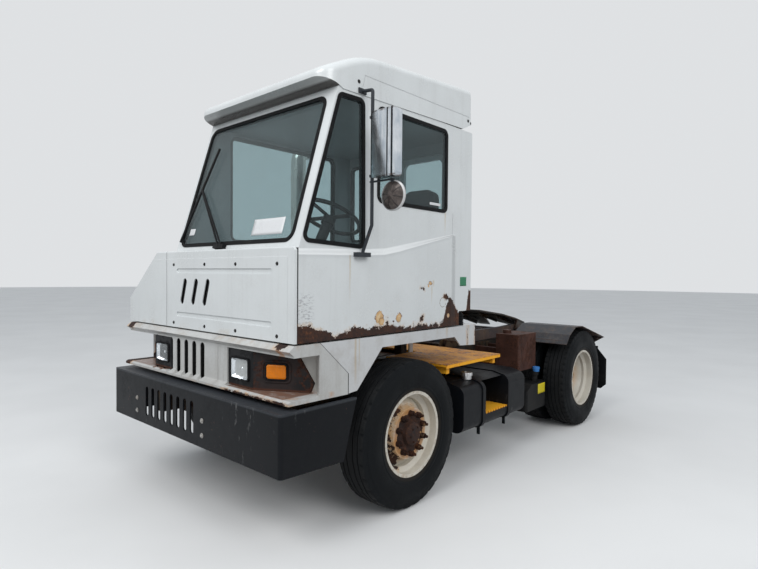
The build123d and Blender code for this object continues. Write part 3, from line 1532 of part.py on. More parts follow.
def fifth_wheel():
    """Fifth wheel resting on its stop, tilted down to the rear."""
    return Pos(0, *FIFTH_PIVOT) * Rot(-FIFTH_TILT, 0, 0) * fifth_wheel_flat()


# Rear guards

def guard_profile():
    """Folded mudguard in side view, of even thickness."""
    upper = list(GUARD_LINE)
    lower = [(y + 0.4 * GUARD_THICKNESS * (1 if y < WHEELBASE else -1), z - GUARD_THICKNESS * 1.15) for y, z in reversed(upper)]
    return outline(upper + lower)


def mudguards():
    """Folded plate over each pair of twin tyres, on two outriggers from the rail."""
    guard = side_profile(guard_profile(), *GUARD_X)
    end_y, end_z = GUARD_LINE[-1]
    guard += front_profile(
        outline(
            [
                (GUARD_X[0], GUARD_END_LOW),
                (GUARD_X[1] - 110, GUARD_END_LOW),
                (GUARD_X[1] - 110, end_z - 70),
                (GUARD_X[1], end_z - 1),
                (GUARD_X[0], end_z - 1),
            ]
        ),
        end_y - GUARD_THICKNESS,
        end_y,
    )
    for rail_y, y in GUARD_STAYS_Y:
        guard += block((RAIL_OUT, RAIL_OUT + 16), (rail_y - 60, rail_y + 60), (FRAME_TOP - 130, FRAME_TOP - 10))
        z = guard_height(y) - 20
        guard += tube(
            [
                (RAIL_OUT + 8, rail_y, FRAME_TOP - 60),
                (RAIL_OUT + 80, rail_y, FRAME_TOP - 60),
                (GUARD_X[0] - 40, y, z),
                (GUARD_X[1] - 60, y, z),
            ],
            17,
            24,
        )
    return pair_of(guard)


GUARD_STAYS_Y = ((WHEELBASE - 466, WHEELBASE - 466), (WHEELBASE + 354, WHEELBASE + 569))


def guard_height(y):
    """Height of the guard's upper side at a distance along the vehicle."""
    for (y0, z0), (y1, z1) in zip(GUARD_LINE, GUARD_LINE[1:]):
        if y0 <= y <= y1:
            return z0 + (z1 - z0) * (y - y0) / (y1 - y0)
    return GUARD_LINE[-1][1]


def mud_flaps():
    """Rubber flap behind each pair of twin tyres, its outer corners cut off."""
    x0, x1 = FLAP_X
    z0, z1 = FLAP_Z
    cut_x, cut_z = FLAP_CORNER
    face = outline(
        [
            (x0, z0),
            (x1 - 60, z0),
            (x1, z0 + 56),
            (x1, z1 - cut_z),
            (x1 - cut_x, z1 - 33),
            (x1 - cut_x, z1),
            (x0, z1),
        ]
    )
    return pair_of(front_profile(face, REAR_Y - FLAP_THICKNESS, REAR_Y))


def tail_lamps():
    """Round stop and turn lamps in a channel across the frame's end."""
    lamps = []
    for _, side in SIDES:
        for x in (300, 180):
            lamps.append(rod((side * x, RAIL_REAR + 12 + SEAT_GAP, 800), (side * x, RAIL_REAR + 30, 800), 52))
    return Compound(children=lamps)


RAIL_BOLTS = (WHEELBASE + 204, 803, 200, 120, 9)
TAIL_BOLTS = (770, 160, 80, 9)


def rail_bolt_holes():
    """Four holes through each rail's web for equipment bolted on."""
    y, z, span_y, span_z, radius = RAIL_BOLTS
    holes = []
    for dy in (-span_y / 2, span_y / 2):
        for dz in (-span_z / 2, span_z / 2):
            holes.append(rod((-RAIL_OUT - 5, y + dy, z + dz), (RAIL_OUT + 5, y + dy, z + dz), radius))
    return holes


def tail_channel():
    """Closing plate across the frame's end, with a notch under the trailer's nose."""
    plate = block((-RAIL_OUT, RAIL_OUT), (RAIL_REAR, RAIL_REAR + 12), (FRAME_BOTTOM, FRAME_TOP))
    plate -= block((-90, 90), (RAIL_REAR - 5, RAIL_REAR + 20), (FRAME_TOP - 70, FRAME_TOP + 5))
    z, span_x, span_z, radius = TAIL_BOLTS
    for dx in (-span_x / 2, span_x / 2):
        for dz in (-span_z / 2, span_z / 2):
            plate -= rod((dx, RAIL_REAR - 5, z + dz), (dx, RAIL_REAR + 20, z + dz), radius)
    return plate


# Tanks and steps

def tank_profile(grow=0):
    """Cross-section of the side tank in (x, z): flat inside, round outer corners."""
    g = grow
    face = Polygon(
        (TANK_INNER_X, TANK_LOW - g),
        (TANK_OUTER_X + g, TANK_LOW - g),
        (TANK_OUTER_X + g, TANK_TOP - 36 + g),
        (TANK_OUTER_X - 150, TANK_TOP + g),
        (TANK_INNER_X, TANK_TOP + g),
        align=None,
    )
    outer = face.vertices().sort_by(Axis.X)[-2:]
    return fillet(outer, TANK_CORNER)


def fuel_tank():
    """Side tank with a step well through its middle, and a pressed band at each strap."""
    y0, y3 = TANK_FRONT_Y, TANK_REAR_Y
    y1, y2 = TANK_STEP_Y
    tank = front_profile(tank_profile(), y0, y3)
    for y in (y1 - STRAP_WIDTH / 2, y2 + STRAP_WIDTH / 2):
        band = front_profile(tank_profile(STRAP_PROUD), y - STRAP_WIDTH / 2, y + STRAP_WIDTH / 2)
        tank += band
    well = block((TANK_OUTER_X - 320, TANK_OUTER_X + 40), (y1, y2), (STEP_TOP, TANK_TOP - 22))
    tank -= well
    for y in (y1 - STRAP_WIDTH / 2, y2 + STRAP_WIDTH / 2):
        tank += block((RAIL_OUT, TANK_INNER_X + 5), (y - 30, y + 30), (TANK_LOW + 40, FRAME_TOP - 60))
        tank += block((TANK_OUTER_X - 60, TANK_OUTER_X - 36), (y - 8, y + 8), (TANK_LOW - 66, TANK_LOW + 5))
    return tank


def lower_step():
    """Serrated tread in the step well."""
    y1, y2 = TANK_STEP_Y
    tread = block(
        (TANK_OUTER_X - 300, TANK_OUTER_X - 4), (y1 + SEAT_GAP, y2 - SEAT_GAP), (STEP_TOP, STEP_TOP + 14)
    )
    pitch = (y2 - y1) / STEP_TEETH
    for i in range(STEP_TEETH):
        y = y1 + (i + 0.5) * pitch
        tread -= block((TANK_OUTER_X - 20, TANK_OUTER_X), (y - pitch / 4, y + pitch / 4), (STEP_TOP - 1, STEP_TOP + 20))
    return tread


STEP_TEETH = 9


def deck():
    """Boarding deck: a folded plate beside the frame and over it behind the cab."""
    y0, y1 = DECK_Y
    face = outline(
        [
            (RAIL_OUT + 20, y0),
            (DECK_OUTER_X, y0),
            (DECK_OUTER_X, y1),
            (-RAIL_OUT, y1),
            (-RAIL_OUT, 905),
            (RAIL_OUT + 20, 905),
        ]
    )
    plate = plan_profile(face, FRAME_TOP, DECK_TOP)
    plate += block((DECK_OUTER_X - 8, DECK_OUTER_X), (y0, y1), (DECK_TOP - DECK_LIP, DECK_TOP))
    for y in (y0 + 60, y1 - 60):
        plate += block((RAIL_OUT, DECK_OUTER_X - 30), (y - 20, y + 20), (FRAME_TOP - 60, FRAME_TOP + 2))
    return plate


def def_tank():
    """Small side tank with its filler and cap."""
    (x0, x1), (y0, y1), (z0, z1) = DEF_TANK
    tank = block((x0, x1), (y0, y1), (z0, z1))
    outer = [e for e in tank.edges().filter_by(Axis.Z) if e.center().X > x1 - 1]
    tank = fillet(outer, 30)
    slope = side_profile(outline([(y0 - 5, z1 - 60), (y0 + 120, z1 + 5), (y0 - 5, z1 + 5)]), x0 - 5, x1 + 5)
    tank -= slope
    arm = outline(
        [
            (RAIL_OUT, z1 - 90),
            (x0 + 10, z1 - 90),
            (x0 + 10, z1 - 10),
            (RAIL_OUT + 40, z1 - 10),
            (RAIL_OUT + 16, z1 + 30),
            (RAIL_OUT + 16, FRAME_TOP - 100),
            (RAIL_OUT, FRAME_TOP - 100),
        ]
    )
    for y in (y0 + 125, y1 - 165):
        tank += front_profile(arm, y, y + 40)
    tank += rod((x1 - 90, y1 - 90, z1 - 5), (x1 - 90, y1 - 90, z1 + 60), 34)
    tank += rod((x1 - 90, y1 - 90, z1 + 60), (x1 - 90, y1 - 90, z1 + 100), 46)
    return tank


def oil_tank():
    """Hydraulic oil tank on the left rail with its filler."""
    (x0, x1), (y0, y1), (z0, z1) = OIL_TANK
    tank = block((x0, x1), (y0, y1), (z0, z1))
    tank = fillet([e for e in tank.edges().filter_by(Axis.Z) if e.center().X > x1 - 1], 12)
    tank += block((RAIL_OUT, x0 + 5), (y0 + 40, y0 + 90), (720, 900))
    tank += block((RAIL_OUT, x0 + 5), (y1 - 90, y1 - 40), (720, 900))
    tank += rod((x0 + 60, y0 + 120, z1 - 5), (x0 + 60, y0 + 120, z1 + 34), 44)
    return tank


def battery_box():
    """Battery and air-tank locker on the right rail."""
    (x0, x1), (y0, y1), (z0, z1) = BATTERY_BOX
    box = block((x0, x1), (y0, y1), (z0, z1))
    box = fillet([e for e in box.edges().filter_by(Axis.Y) if e.center().X < x0 + 1], 40)
    for y in (y0 + 120, y1 - 60):
        box += block((x1 - 5, -RAIL_OUT), (y - 25, y + 25), (z0 + 60, FRAME_TOP - 60))
    return box


STACK_X = -785
STACK_Y = 520
STACK_RADIUS = 75
STACK_TOP = 2950
MUFFLER_RADIUS = 120
MUFFLER_Z = (1010, 1820)


def exhaust_stack():
    """Upright muffler and stack on a bracket from the right rail, its tip turned back."""
    base = (STACK_X, STACK_Y)
    stack = rod((*base, MUFFLER_Z[0]), (*base, MUFFLER_Z[1]), MUFFLER_RADIUS)
    stack += rod((*base, MUFFLER_Z[1] - 5), (*base, STACK_TOP - 150), STACK_RADIUS)
    stack += tube(
        [
            (*base, STACK_TOP - 160),
            (*base, STACK_TOP - 60),
            (STACK_X, STACK_Y + 120, STACK_TOP - 62),
        ],
        STACK_RADIUS - 6,
        90,
    )
    stack += rod((*base, 2590), (*base, 2620), STACK_RADIUS + 6)
    stack += block((-RAIL_OUT, STACK_X - 90), (STACK_Y - 150, STACK_Y + 150), (FRAME_TOP + 60, FRAME_TOP + 82))
    stack += block((-RAIL_OUT, -RAIL_OUT - 16), (STACK_Y - 150, STACK_Y + 150), (FRAME_TOP - 120, FRAME_TOP + 70))
    return stack


AIR_CLEANER_Y = 1075


def air_cleaner():
    """Air cleaner canister on its bracket behind the stack."""
    x = STACK_X
    y = AIR_CLEANER_Y
    canister = rod((x, y, 1040), (x, y, 1480), 150)
    canister += rod((x, y, 1470), (x, y, 1540), 110)
    canister += rod((x, y, 1530), (x, y, 1640), 62)
    canister += rod((x, y, 1620), (x, y, 1690), 120)
    canister += block((-RAIL_OUT, x - 60), (y - 110, y + 110), (1018, 1042))
    canister += block((-RAIL_OUT, -RAIL_OUT - 16), (y - 110, y + 110), (FRAME_TOP - 120, 1030))
    return canister


def head_lamps():
    """Square head lamps."""
    return pair_of(head_lamp_space(0))


def turn_lamps():
    """Turn signals."""
    return pair_of(turn_lamp_space(0))


def all_nodes():
    """Every node's name with its solid."""
    seals, panes = window_parts()
    nodes = {
        "frame": frame(),
        "tail_channel": tail_channel(),
        "tail_lamps": tail_lamps(),
        "bumper": bumper(),
        "fascia": fascia(),
        "lamp_bezels": pair_of(bezel(1)),
        "head_lamps": head_lamps(),
        "turn_lamps": turn_lamps(),
        "radiator": radiator(),
        "engine": engine(),
        "front_axle": front_axle(),
        "front_springs": front_springs(),
        "rear_axle": rear_axle(),
        "drive_shaft": drive_shaft(),
        "fenders": pair_of(fender(1)),
        "cab_mounts": cab_mounts(),
        "fuel_tank": fuel_tank(),
        "lower_step": lower_step(),
        "deck": deck(),
        "def_tank": def_tank(),
        "oil_tank": oil_tank(),
        "battery_box": battery_box(),
        "exhaust_stack": exhaust_stack(),
        "air_cleaner": air_cleaner(),
        "mudguards": mudguards(),
        "mud_flaps": mud_flaps(),
        "boom_pedestal": boom_pedestal(),
        "cylinder_mounts": cylinder_mounts(),
        "boom": boom(),
        "fifth_wheel": fifth_wheel(),
        "tie_rod": tie_rod(),
        "cab_shell": cab_shell(),
        "window_seals": seals,
        "cab_glass": panes,
        "front_panel": front_panel(),
        "shoulder": shoulder(),
        "roof": roof(),
        "seat": seat(),
        "dash": dash(),
        "steering_wheel": steering_wheel(),
        "mirror_bracket": mirror_bracket(),
        "mirror_heads": mirror_heads(),
        "wiper": wiper(),
        "rear_door": rear_door(),
        "rear_door_glass": rear_door_glass(),
    }
    for name, side in SIDES:
        nodes[f"knuckle_{name}"] = knuckle(side)
        nodes[f"front_rim_{name}"] = front_rim(side)
        nodes[f"front_tyre_{name}"] = front_tyre(side)
        nodes[f"rear_rims_{name}"] = rear_rims(side)
        nodes[f"rear_tyres_{name}"] = rear_tyres(side)
        nodes[f"lift_barrel_{name}"] = lift_barrel(side)
        nodes[f"lift_rod_{name}"] = lift_rod(side)
    return nodes


def placed(shape):
    """The node's solids moved to the datum."""
    solids = [Pos(*DATUM) * solid for solid in shape.solids()]
    return solids[0] if len(solids) == 1 else Compound(solids)


os.makedirs("parts", exist_ok=True)
for node, shape in all_nodes().items():
    export_step(placed(shape), f"parts/{node}.step")
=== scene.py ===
"""Looks of the terminal tractor: weathered paint, rust, glass, tyres, nuts, lamps and the driver's seat.

Lengths are metres. Places are given about the vehicle's own centreline and front axle, with +X to the
driver's left, the front towards -Y and Z = 0 on the ground, and at() turns them into the frame's place.
"""

import json
import math

import bmesh
import bpy
from mathutils import Matrix, Vector


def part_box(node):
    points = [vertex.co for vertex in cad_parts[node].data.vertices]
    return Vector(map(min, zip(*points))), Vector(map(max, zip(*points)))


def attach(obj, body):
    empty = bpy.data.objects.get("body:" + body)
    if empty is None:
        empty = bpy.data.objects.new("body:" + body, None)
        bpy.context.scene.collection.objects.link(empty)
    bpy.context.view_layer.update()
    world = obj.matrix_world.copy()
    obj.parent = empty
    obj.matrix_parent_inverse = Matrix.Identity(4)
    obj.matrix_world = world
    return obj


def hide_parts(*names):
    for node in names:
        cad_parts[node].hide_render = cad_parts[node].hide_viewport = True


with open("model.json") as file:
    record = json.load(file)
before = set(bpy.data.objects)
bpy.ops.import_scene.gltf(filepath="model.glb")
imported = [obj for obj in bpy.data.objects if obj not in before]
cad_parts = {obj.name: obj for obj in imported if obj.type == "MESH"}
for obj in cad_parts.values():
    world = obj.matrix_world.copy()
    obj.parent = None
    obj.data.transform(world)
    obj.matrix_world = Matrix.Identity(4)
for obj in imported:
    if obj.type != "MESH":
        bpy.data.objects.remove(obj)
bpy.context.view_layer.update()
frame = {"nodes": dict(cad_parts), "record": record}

# Vehicle datum, read from the frame
FRONT_TYRE_BOX = {side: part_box(f"front_tyre_{side}") for side in ("left", "right")}
REAR_TYRES_BOX = {side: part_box(f"rear_tyres_{side}") for side in ("left", "right")}
MIDLINE_X = (FRONT_TYRE_BOX["left"][1].x + FRONT_TYRE_BOX["right"][0].x) / 2
FRONT_AXLE_Y = (FRONT_TYRE_BOX["left"][0].y + FRONT_TYRE_BOX["left"][1].y) / 2
REAR_AXLE_Y = (REAR_TYRES_BOX["left"][0].y + REAR_TYRES_BOX["left"][1].y) / 2
WHEELBASE = REAR_AXLE_Y - FRONT_AXLE_Y
TYRE_RADIUS = FRONT_TYRE_BOX["left"][1].z / 2
TYRE_WIDTH = FRONT_TYRE_BOX["left"][1].x - FRONT_TYRE_BOX["left"][0].x
SIDES = (("left", 1), ("right", -1))
ACROSS, ALONG, UP = Vector((1, 0, 0)), Vector((0, 1, 0)), Vector((0, 0, 1))


def at(x, y, z):
    """A place on the vehicle as a place in the frame."""
    return Vector((x + MIDLINE_X, y + FRONT_AXLE_Y, z))


# Camera
CAMERA_PLACE = (3.436, -2.964, 1.658)
CAMERA_YAW = math.radians(41.8)
CAMERA_DOWN = math.radians(1.17)
CAMERA_ROLL = math.radians(0.47)
IMAGE_WIDTH = 758
FOCAL_PIXELS = 532.3
SENSOR = 36.0


def add_camera():
    """Camera at the photograph's place, with its small roll."""
    turn = Matrix.Rotation(CAMERA_YAW, 4, "Z")
    tip = Matrix.Rotation(math.radians(90) - CAMERA_DOWN, 4, "X")
    roll = Matrix.Rotation(CAMERA_ROLL, 4, "Z")
    data = bpy.data.cameras.new("camera")
    data.sensor_fit = "HORIZONTAL"
    data.sensor_width = SENSOR
    data.lens = FOCAL_PIXELS * SENSOR / IMAGE_WIDTH
    data.clip_start = 0.05
    camera = bpy.data.objects.new("camera", data)
    camera.matrix_world = Matrix.Translation(at(*CAMERA_PLACE)) @ turn @ tip @ roll
    bpy.context.scene.collection.objects.link(camera)
    bpy.context.scene.camera = camera


# Surfaces

FINISHES = {}


class Value:
    """A shader socket, so that masks are written as sums and products."""

    def __init__(self, surface, socket):
        self.surface = surface
        self.socket = socket

    def maths(self, operation, *terms):
        """One Math node on these terms, or on this value alone."""
        return self.surface.node(
            "ShaderNodeMath", {"operation": operation}, dict(enumerate(terms or (self,)))
        )

    def __add__(self, other):
        return self.maths("ADD", self, other)

    def __radd__(self, other):
        return self.maths("ADD", other, self)

    def __sub__(self, other):
        return self.maths("SUBTRACT", self, other)

    def __rsub__(self, other):
        return self.maths("SUBTRACT", other, self)

    def __mul__(self, other):
        return self.maths("MULTIPLY", self, other)

    def __rmul__(self, other):
        return self.maths("MULTIPLY", other, self)

    def __truediv__(self, other):
        return self.maths("DIVIDE", self, other)

    def __abs__(self):
        return self.maths("ABSOLUTE", self)

    def most(self, other):
        """The larger of the two."""
        return self.maths("MAXIMUM", self, other)

    def least(self, other):
        """The smaller of the two."""
        return self.maths("MINIMUM", self, other)

    def rise(self, low, high):
        """Smooth step from 0 at low to 1 at high, or the other way round where low is the larger."""
        if low > high:
            return 1 - self.rise(high, low)
        settings = {"interpolation_type": "SMOOTHSTEP"}
        sockets = {"Value": self, "From Min": low, "From Max": high}
        return self.surface.node("ShaderNodeMapRange", settings, sockets)

    def between(self, low, high, blur):
        """1 from low to high, with blurred ends."""
        return self.rise(low - blur, low + blur) * self.rise(high + blur, high - blur)


class Surface:
    """A material under construction, or the world's own."""

    def __init__(self, name, owner=None):
        self.name = name
        self.material = owner or bpy.data.materials.new(name)
        self.material.use_nodes = True
        self.tree = self.material.node_tree
        self.tree.nodes.clear()
        self.place = self.node("ShaderNodeTexCoord", output="Object")
        split = self.node("ShaderNodeSeparateXYZ", sockets={0: self.place})
        outputs = split.socket.node.outputs
        self.x = Value(self, outputs[0]) - MIDLINE_X
        self.y = Value(self, outputs[1]) - FRONT_AXLE_Y
        self.z = Value(self, outputs[2])

    def node(self, kind, settings=None, sockets=None, output=0):
        """A node with its settings, then its sockets' values or links."""
        made = self.tree.nodes.new(kind)
        for name, value in (settings or {}).items():
            if name == "stops":
                self.set_stops(made.color_ramp, value)
            else:
                setattr(made, name, value)
        for key, value in (sockets or {}).items():
            self.feed(made.inputs[key], value)
        return Value(self, made.outputs[output])

    def set_stops(self, ramp, stops):
        """Colour ramp's stops as (place, colour)."""
        while len(ramp.elements) < len(stops):
            ramp.elements.new(1)
        for element, (place, colour) in zip(ramp.elements, stops):
            element.position = place
            element.color = (*colour, 1)

    def feed(self, socket, value):
        """Links a socket, or sets its value."""
        if isinstance(value, Value):
            self.tree.links.new(value.socket, socket)
        elif isinstance(value, tuple) and socket.type == "RGBA":
            socket.default_value = (*value[:3], 1)
        else:
            socket.default_value = value

    def stretched(self, sx, sy, sz):
        """The place with each axis scaled, for streaks and grain."""
        return self.node(
            "ShaderNodeVectorMath", {"operation": "MULTIPLY"}, {0: self.place, 1: (sx, sy, sz)}
        )

    def noise(self, scale, detail=4.0, roughness=0.55, place=None):
        """Noise between 0 and 1."""
        sockets = {"Vector": place or self.place, "Scale": scale, "Detail": detail, "Roughness": roughness}
        return self.node("ShaderNodeTexNoise", {"noise_dimensions": "3D"}, sockets)

    def mottle(self, share, broad, fine):
        """Two noises added, by the first one's share. Each is given as the terms of noise()."""
        return self.noise(*broad) * share + self.noise(*fine) * (1 - share)

    def cells(self, scale):
        """Distance to the nearest of scattered points."""
        return self.node(
            "ShaderNodeTexVoronoi", {"feature": "F1"}, {"Vector": self.place, "Scale": scale}
        )

    def mix(self, mask, first, second):
        """Colour between two, by a mask."""
        settings = {"data_type": "RGBA", "blend_type": "MIX", "clamp_factor": True}
        return self.node("ShaderNodeMix", settings, {0: mask, 6: first, 7: second}, 2)

    def layers(self, colour, *coats):
        """Colour with coats laid over it in turn, each a mask and its colour."""
        for mask, tone in coats:
            colour = self.mix(mask, colour, tone)
        return colour

    def ramp(self, value, *stops):
        """Colour along a row of stops."""
        return self.node("ShaderNodeValToRGB", {"stops": stops}, {0: value})

    def bump(self, height):
        """Normal from a height in metres."""
        return self.node("ShaderNodeBump", None, {"Height": height, "Strength": 1.0, "Distance": 1.0})

    def close(self, colour, roughness, height=None, **others):
        """Principled shader, bumped by height. Other sockets go by name, with _ for each space."""
        sockets = {"Base Color": colour, "Roughness": roughness}
        sockets.update({key.replace("_", " "): value for key, value in others.items()})
        if height is not None:
            sockets["Normal"] = self.bump(height)
        return self.finished(self.node("ShaderNodeBsdfPrincipled", None, sockets))

    def finished(self, shader, kind="ShaderNodeOutputMaterial"):
        """The material, with this shader on its output, kept among the finishes."""
        target = self.tree.nodes.new(kind)
        self.tree.links.new(shader.socket, target.inputs[0])
        FINISHES[self.name] = self.material
        return self.material

    def seen_directly(self):
        """1 for rays from the camera, off metal and through glass, which meet the plain background."""
        names = ("Is Camera Ray", "Is Glossy Ray", "Is Transmission Ray")
        camera, glossy, through = (self.node("ShaderNodeLightPath", output=name) for name in names)
        return camera.most(glossy).most(through)

    def facing(self):
        """Upward part of the surface's own direction, from -1 to 1."""
        way = self.node("ShaderNodeTexCoord", output="Normal")
        split = self.node("ShaderNodeSeparateXYZ", sockets={0: way})
        return Value(self, split.socket.node.outputs[2])


# Finishes

WHITE = (0.755, 0.785, 0.79)
OFF_WHITE = (0.56, 0.565, 0.555)
CREAM = (0.74, 0.70, 0.61)
GRIME = (0.20, 0.17, 0.135)
DUST = (0.30, 0.275, 0.24)
# Inside trim: dark grey vinyl, lightened by a painted reflection off the windows
TRIM_WITH_PAINTED_REFLECTION = (0.34, 0.365, 0.37)
# Near black for dark seams, and painted shade in slots, recesses and just behind the cab's front wall
SEAM_AND_SHADE_BLACK = (0.004, 0.004, 0.0045)
RUST_STAIN = (0.58, 0.33, 0.13)
RUST_STOPS = (
    (0.38, (0.012, 0.006, 0.005)), (0.48, (0.028, 0.0105, 0.0062)), (0.57, (0.055, 0.0195, 0.0085)),
    (0.70, (0.19, 0.066, 0.022)),
)
RUST_ROUGHNESS = 0.88
RUST_RELIEF = 0.0007
TRIM_ROUGHNESS = 0.75
SHEET_WAVES = 0.0008
SEAM_DEPTH = 0.004

# Cab's left side: its ends and lower edge, and the windscreen's foot and slope as (along, up)
CAB_FRONT_Y = -1.034
CAB_REAR_Y = 0.82
CAB_LOW_Z = 1.251
SCREEN_FOOT = (-1.002, 1.812)
SCREEN_NORMAL = (0.9568, -0.2905)

# Where rust stands above the cab side's lower edge, from front to rear: share of the side, height
BAND = (
    (0.0, 0.085), (0.02, 0.100), (0.05, 0.100), (0.09, 0.083), (0.17, 0.022), (0.20, 0.030), (0.24, 0.055),
    (0.353, 0.048), (0.455, 0.060), (0.536, 0.033), (0.605, 0.033), (0.763, 0.023), (0.793, 0.040),
    (0.811, 0.160), (0.832, 0.218), (0.857, 0.200), (0.882, 0.139), (0.905, 0.100), (0.965, 0.095),
    (0.983, 0.270),
)
# Pressed crease on the cab's left side: share of the side, height of its lower edge, of its upper edge
CREASE = (
    (0.0, 1.764, 1.797), (0.32, 1.776, 1.814), (0.42, 1.786, 1.826), (0.5, 1.812, 1.853),
    (0.845, 1.955, 1.966), (0.86, 1.96, 1.968),
)
CREASE_LOW = 1.7
LINE_REACH = 0.3

# Patches on the cab's left side: place along, height, radius
RUST_SPOTS = (
    (0.172, 1.549, 0.016), (0.462, 1.492, 0.021), (0.474, 1.474, 0.018), (0.157, 1.325, 0.017),
    (0.165, 1.345, 0.012), (-0.225, 1.325, 0.014), (-0.165, 1.330, 0.010),
)
BLISTERS = (
    (-0.31, 1.365, 0.040), (-0.285, 1.335, 0.026), (-0.105, 1.356, 0.030), (0.263, 1.589, 0.016),
    (0.24, 1.572, 0.010),
)
TAN_PATCH = (0.50, 1.335)
FLAKE = (0.425, 1.44, 0.040)
# Run marks on the cab's left side: place along, top, half width, drop
SIDE_RUNS = (
    (0.445, 2.125, 0.014, 0.20), (0.28, 1.56, 0.010, 0.16), (-0.31, 1.34, 0.035, 0.06),
    (-0.10, 1.34, 0.03, 0.05), (-0.59, 1.78, 0.012, 0.35), (0.30, 1.60, 0.02, 0.05),
)
# Run marks on the fender strips: place along, half width, foot, strength
FENDER_RUNS = (
    (-0.535, 0.014, 0.90, 0.5), (-0.50, 0.008, 0.98, 0.4), (0.485, 0.022, 1.10, 0.6),
    (0.36, 0.010, 1.16, 0.4), (-0.86, 0.03, 1.16, 0.3), (0.80, 0.012, 1.05, 0.5), (0.06, 0.010, 1.17, 0.3),
)
FENDER_SEAM_Y = 0.78

# Front skirt and front panel
SKIRT_SEAMS_X = (0.272, -0.804)
CHAMFER_SLOPE = 0.239 / 0.213
PANEL_FOLD_X = -0.443

# Orange plates' upper faces, as heights, and the pitch of their teeth
DECK_TOP = (0.945, 0.953)
STEP_TOP = (0.468, 0.480)
TEETH = 150

# Mirrors: the long head's foot and folds across it, and the round head's middle as (across, up)
LONG_HEAD_LOW = 2.236
LONG_HEAD_FOLDS = ((1.328, 0.007), (1.364, 0.010), (1.200, 0.006))
ROUND_HEAD = (1.340, 2.132)

# Nodes with a finish of their own, apart from their slot's
NODE_FINISHES = {
    "fenders": "fender_paint", "front_panel": "panel_paint", "mirror_heads": "mirror_backs",
    "wiper": "black_plastic", "radiator": "radiator_core",
}


def shaded(colour, amount):
    """A colour made darker or lighter."""
    return tuple(min(1.0, channel * amount) for channel in colour)


def rust_colour(s):
    """Rust, from dark scale to orange powder."""
    return s.ramp(s.mottle(0.5, (9, 4), (60, 6, 0.7)), *RUST_STOPS)


def streaks(s, across=11, along=0.05):
    """Noise drawn out downwards, as rain leaves it."""
    return s.noise(across, 5, 0.62, s.stretched(1, 1, along))


def weathered(
    name, paint, rough, rust=None, dust=0.3, grain=0.0002, coat=0.0, ragged=0.03, stain=0.6,
    dust_colour=DUST, lines=None, trim=None, extra=None, specular=0.5,
):
    """Old paint: uneven colour, streaks and dust. Rust lies where its depth in metres is above zero."""
    s = Surface(name)
    broad = s.noise(1.7, 4)
    fine = s.noise(85, 5, 0.6)
    settled = (s.noise(5, 6, 0.65) * 0.6 + fine * 0.4 + s.z.rise(1.5, 0.35) * 0.18).rise(0.45, 0.75)
    colour = s.layers(
        paint,
        (broad.rise(0.35, 0.7) * 0.6, shaded(paint, 0.90)),
        (streaks(s).rise(0.5, 0.8) * dust * 0.8, GRIME),
        (s.noise(210, 2, 0.5).rise(0.66, 0.74) * dust * 0.6, shaded(dust_colour, 0.5)),
        (settled * dust, dust_colour),
    )
    if extra is not None:
        colour = extra(s, colour)
    roughness = rough + settled * 0.25 * dust + (broad - 0.5) * 0.1
    shine = coat
    height = fine * grain + s.noise(2.4, 2) * SHEET_WAVES
    if lines is not None:
        height = height + lines(s)
    if rust is not None:
        torn = (s.noise(21, 7, 0.68) - 0.5) * 2 + (s.noise(95, 4, 0.6) - 0.5) * 0.7
        depth = rust(s) + torn * ragged
        bare = depth.rise(0, 0.0018)
        washed = s.noise(16, 4, 0.6, s.stretched(1, 1, 0.5)).rise(0.36, 0.62)
        stained = depth.rise(-0.030, 0.002) * washed * stain
        colour = s.layers(colour, (stained, RUST_STAIN), (bare, rust_colour(s)))
        roughness = roughness + bare * (RUST_ROUGHNESS - rough)
        shine = (1 - bare) * coat
        height = height + bare * (s.noise(120, 5, 0.7) - 1) * RUST_RELIEF
    if trim is not None:
        # Inside the cab: painted shade in near black just behind the front wall, elsewhere the trim colour
        # with its painted reflection
        inside = trim(s)
        colour = s.mix(inside, colour, s.mix(s.y.rise(-1.005, -1.0), SEAM_AND_SHADE_BLACK, TRIM_WITH_PAINTED_REFLECTION))
        roughness = roughness + inside * (TRIM_ROUGHNESS - rough)
    return s.close(
        colour, roughness, height, Coat_Weight=shine, Coat_Roughness=0.12, Specular_IOR_Level=specular
    )


def length(a, b):
    """Length of the sum of two squares."""
    return (a * a + b * b).maths("SQRT")


def blob(s, y, z, radius):
    """Depth of a round patch on a side of the cab."""
    return radius - length(s.y - y, s.z - z)


def groove(distance, width):
    """1 on a line, falling to 0 at its width."""
    return abs(distance).rise(width, width * 0.3)


def only(mask):
    """What to add to a depth of rust, so that it stays where the mask is 1."""
    return mask * 10 - 10


def drawn_line(s, points, low=0.0):
    """Height of a line along the cab's side, above low by up to LINE_REACH."""
    along = (s.y - CAB_FRONT_Y) / (CAB_REAR_Y - CAB_FRONT_Y)
    stops = [(share, ((height - low) / LINE_REACH,) * 3) for share, height in points]
    return s.ramp(along, *stops) * LINE_REACH + low


def cab_rust(s):
    """Rust on the white cab: the lower edge's ragged band, patches above it and the shoulder's edge."""
    depth = CAB_LOW_Z + drawn_line(s, BAND) - s.z
    for spot in RUST_SPOTS:
        depth = depth.most(blob(s, *spot))
    shoulder = only(s.x.rise(-1.0, -1.05)) + (1.262 - s.z)
    kept = blob(s, *TAN_PATCH, 0.020).rise(0.0, 0.006) * 0.2
    return (depth + only(s.x.rise(1.0, 1.03))).most(shoulder) - kept


def crease_lines(s):
    """Lower and upper edge of the crease's facet, which takes a painted highlight."""
    return [drawn_line(s, [(row[0], row[edge]) for row in CREASE], CREASE_LOW) for edge in (1, 2)]


def before_door_post(s):
    """1 on the side's length that the crease runs along."""
    return s.y.rise(0.60, 0.535)


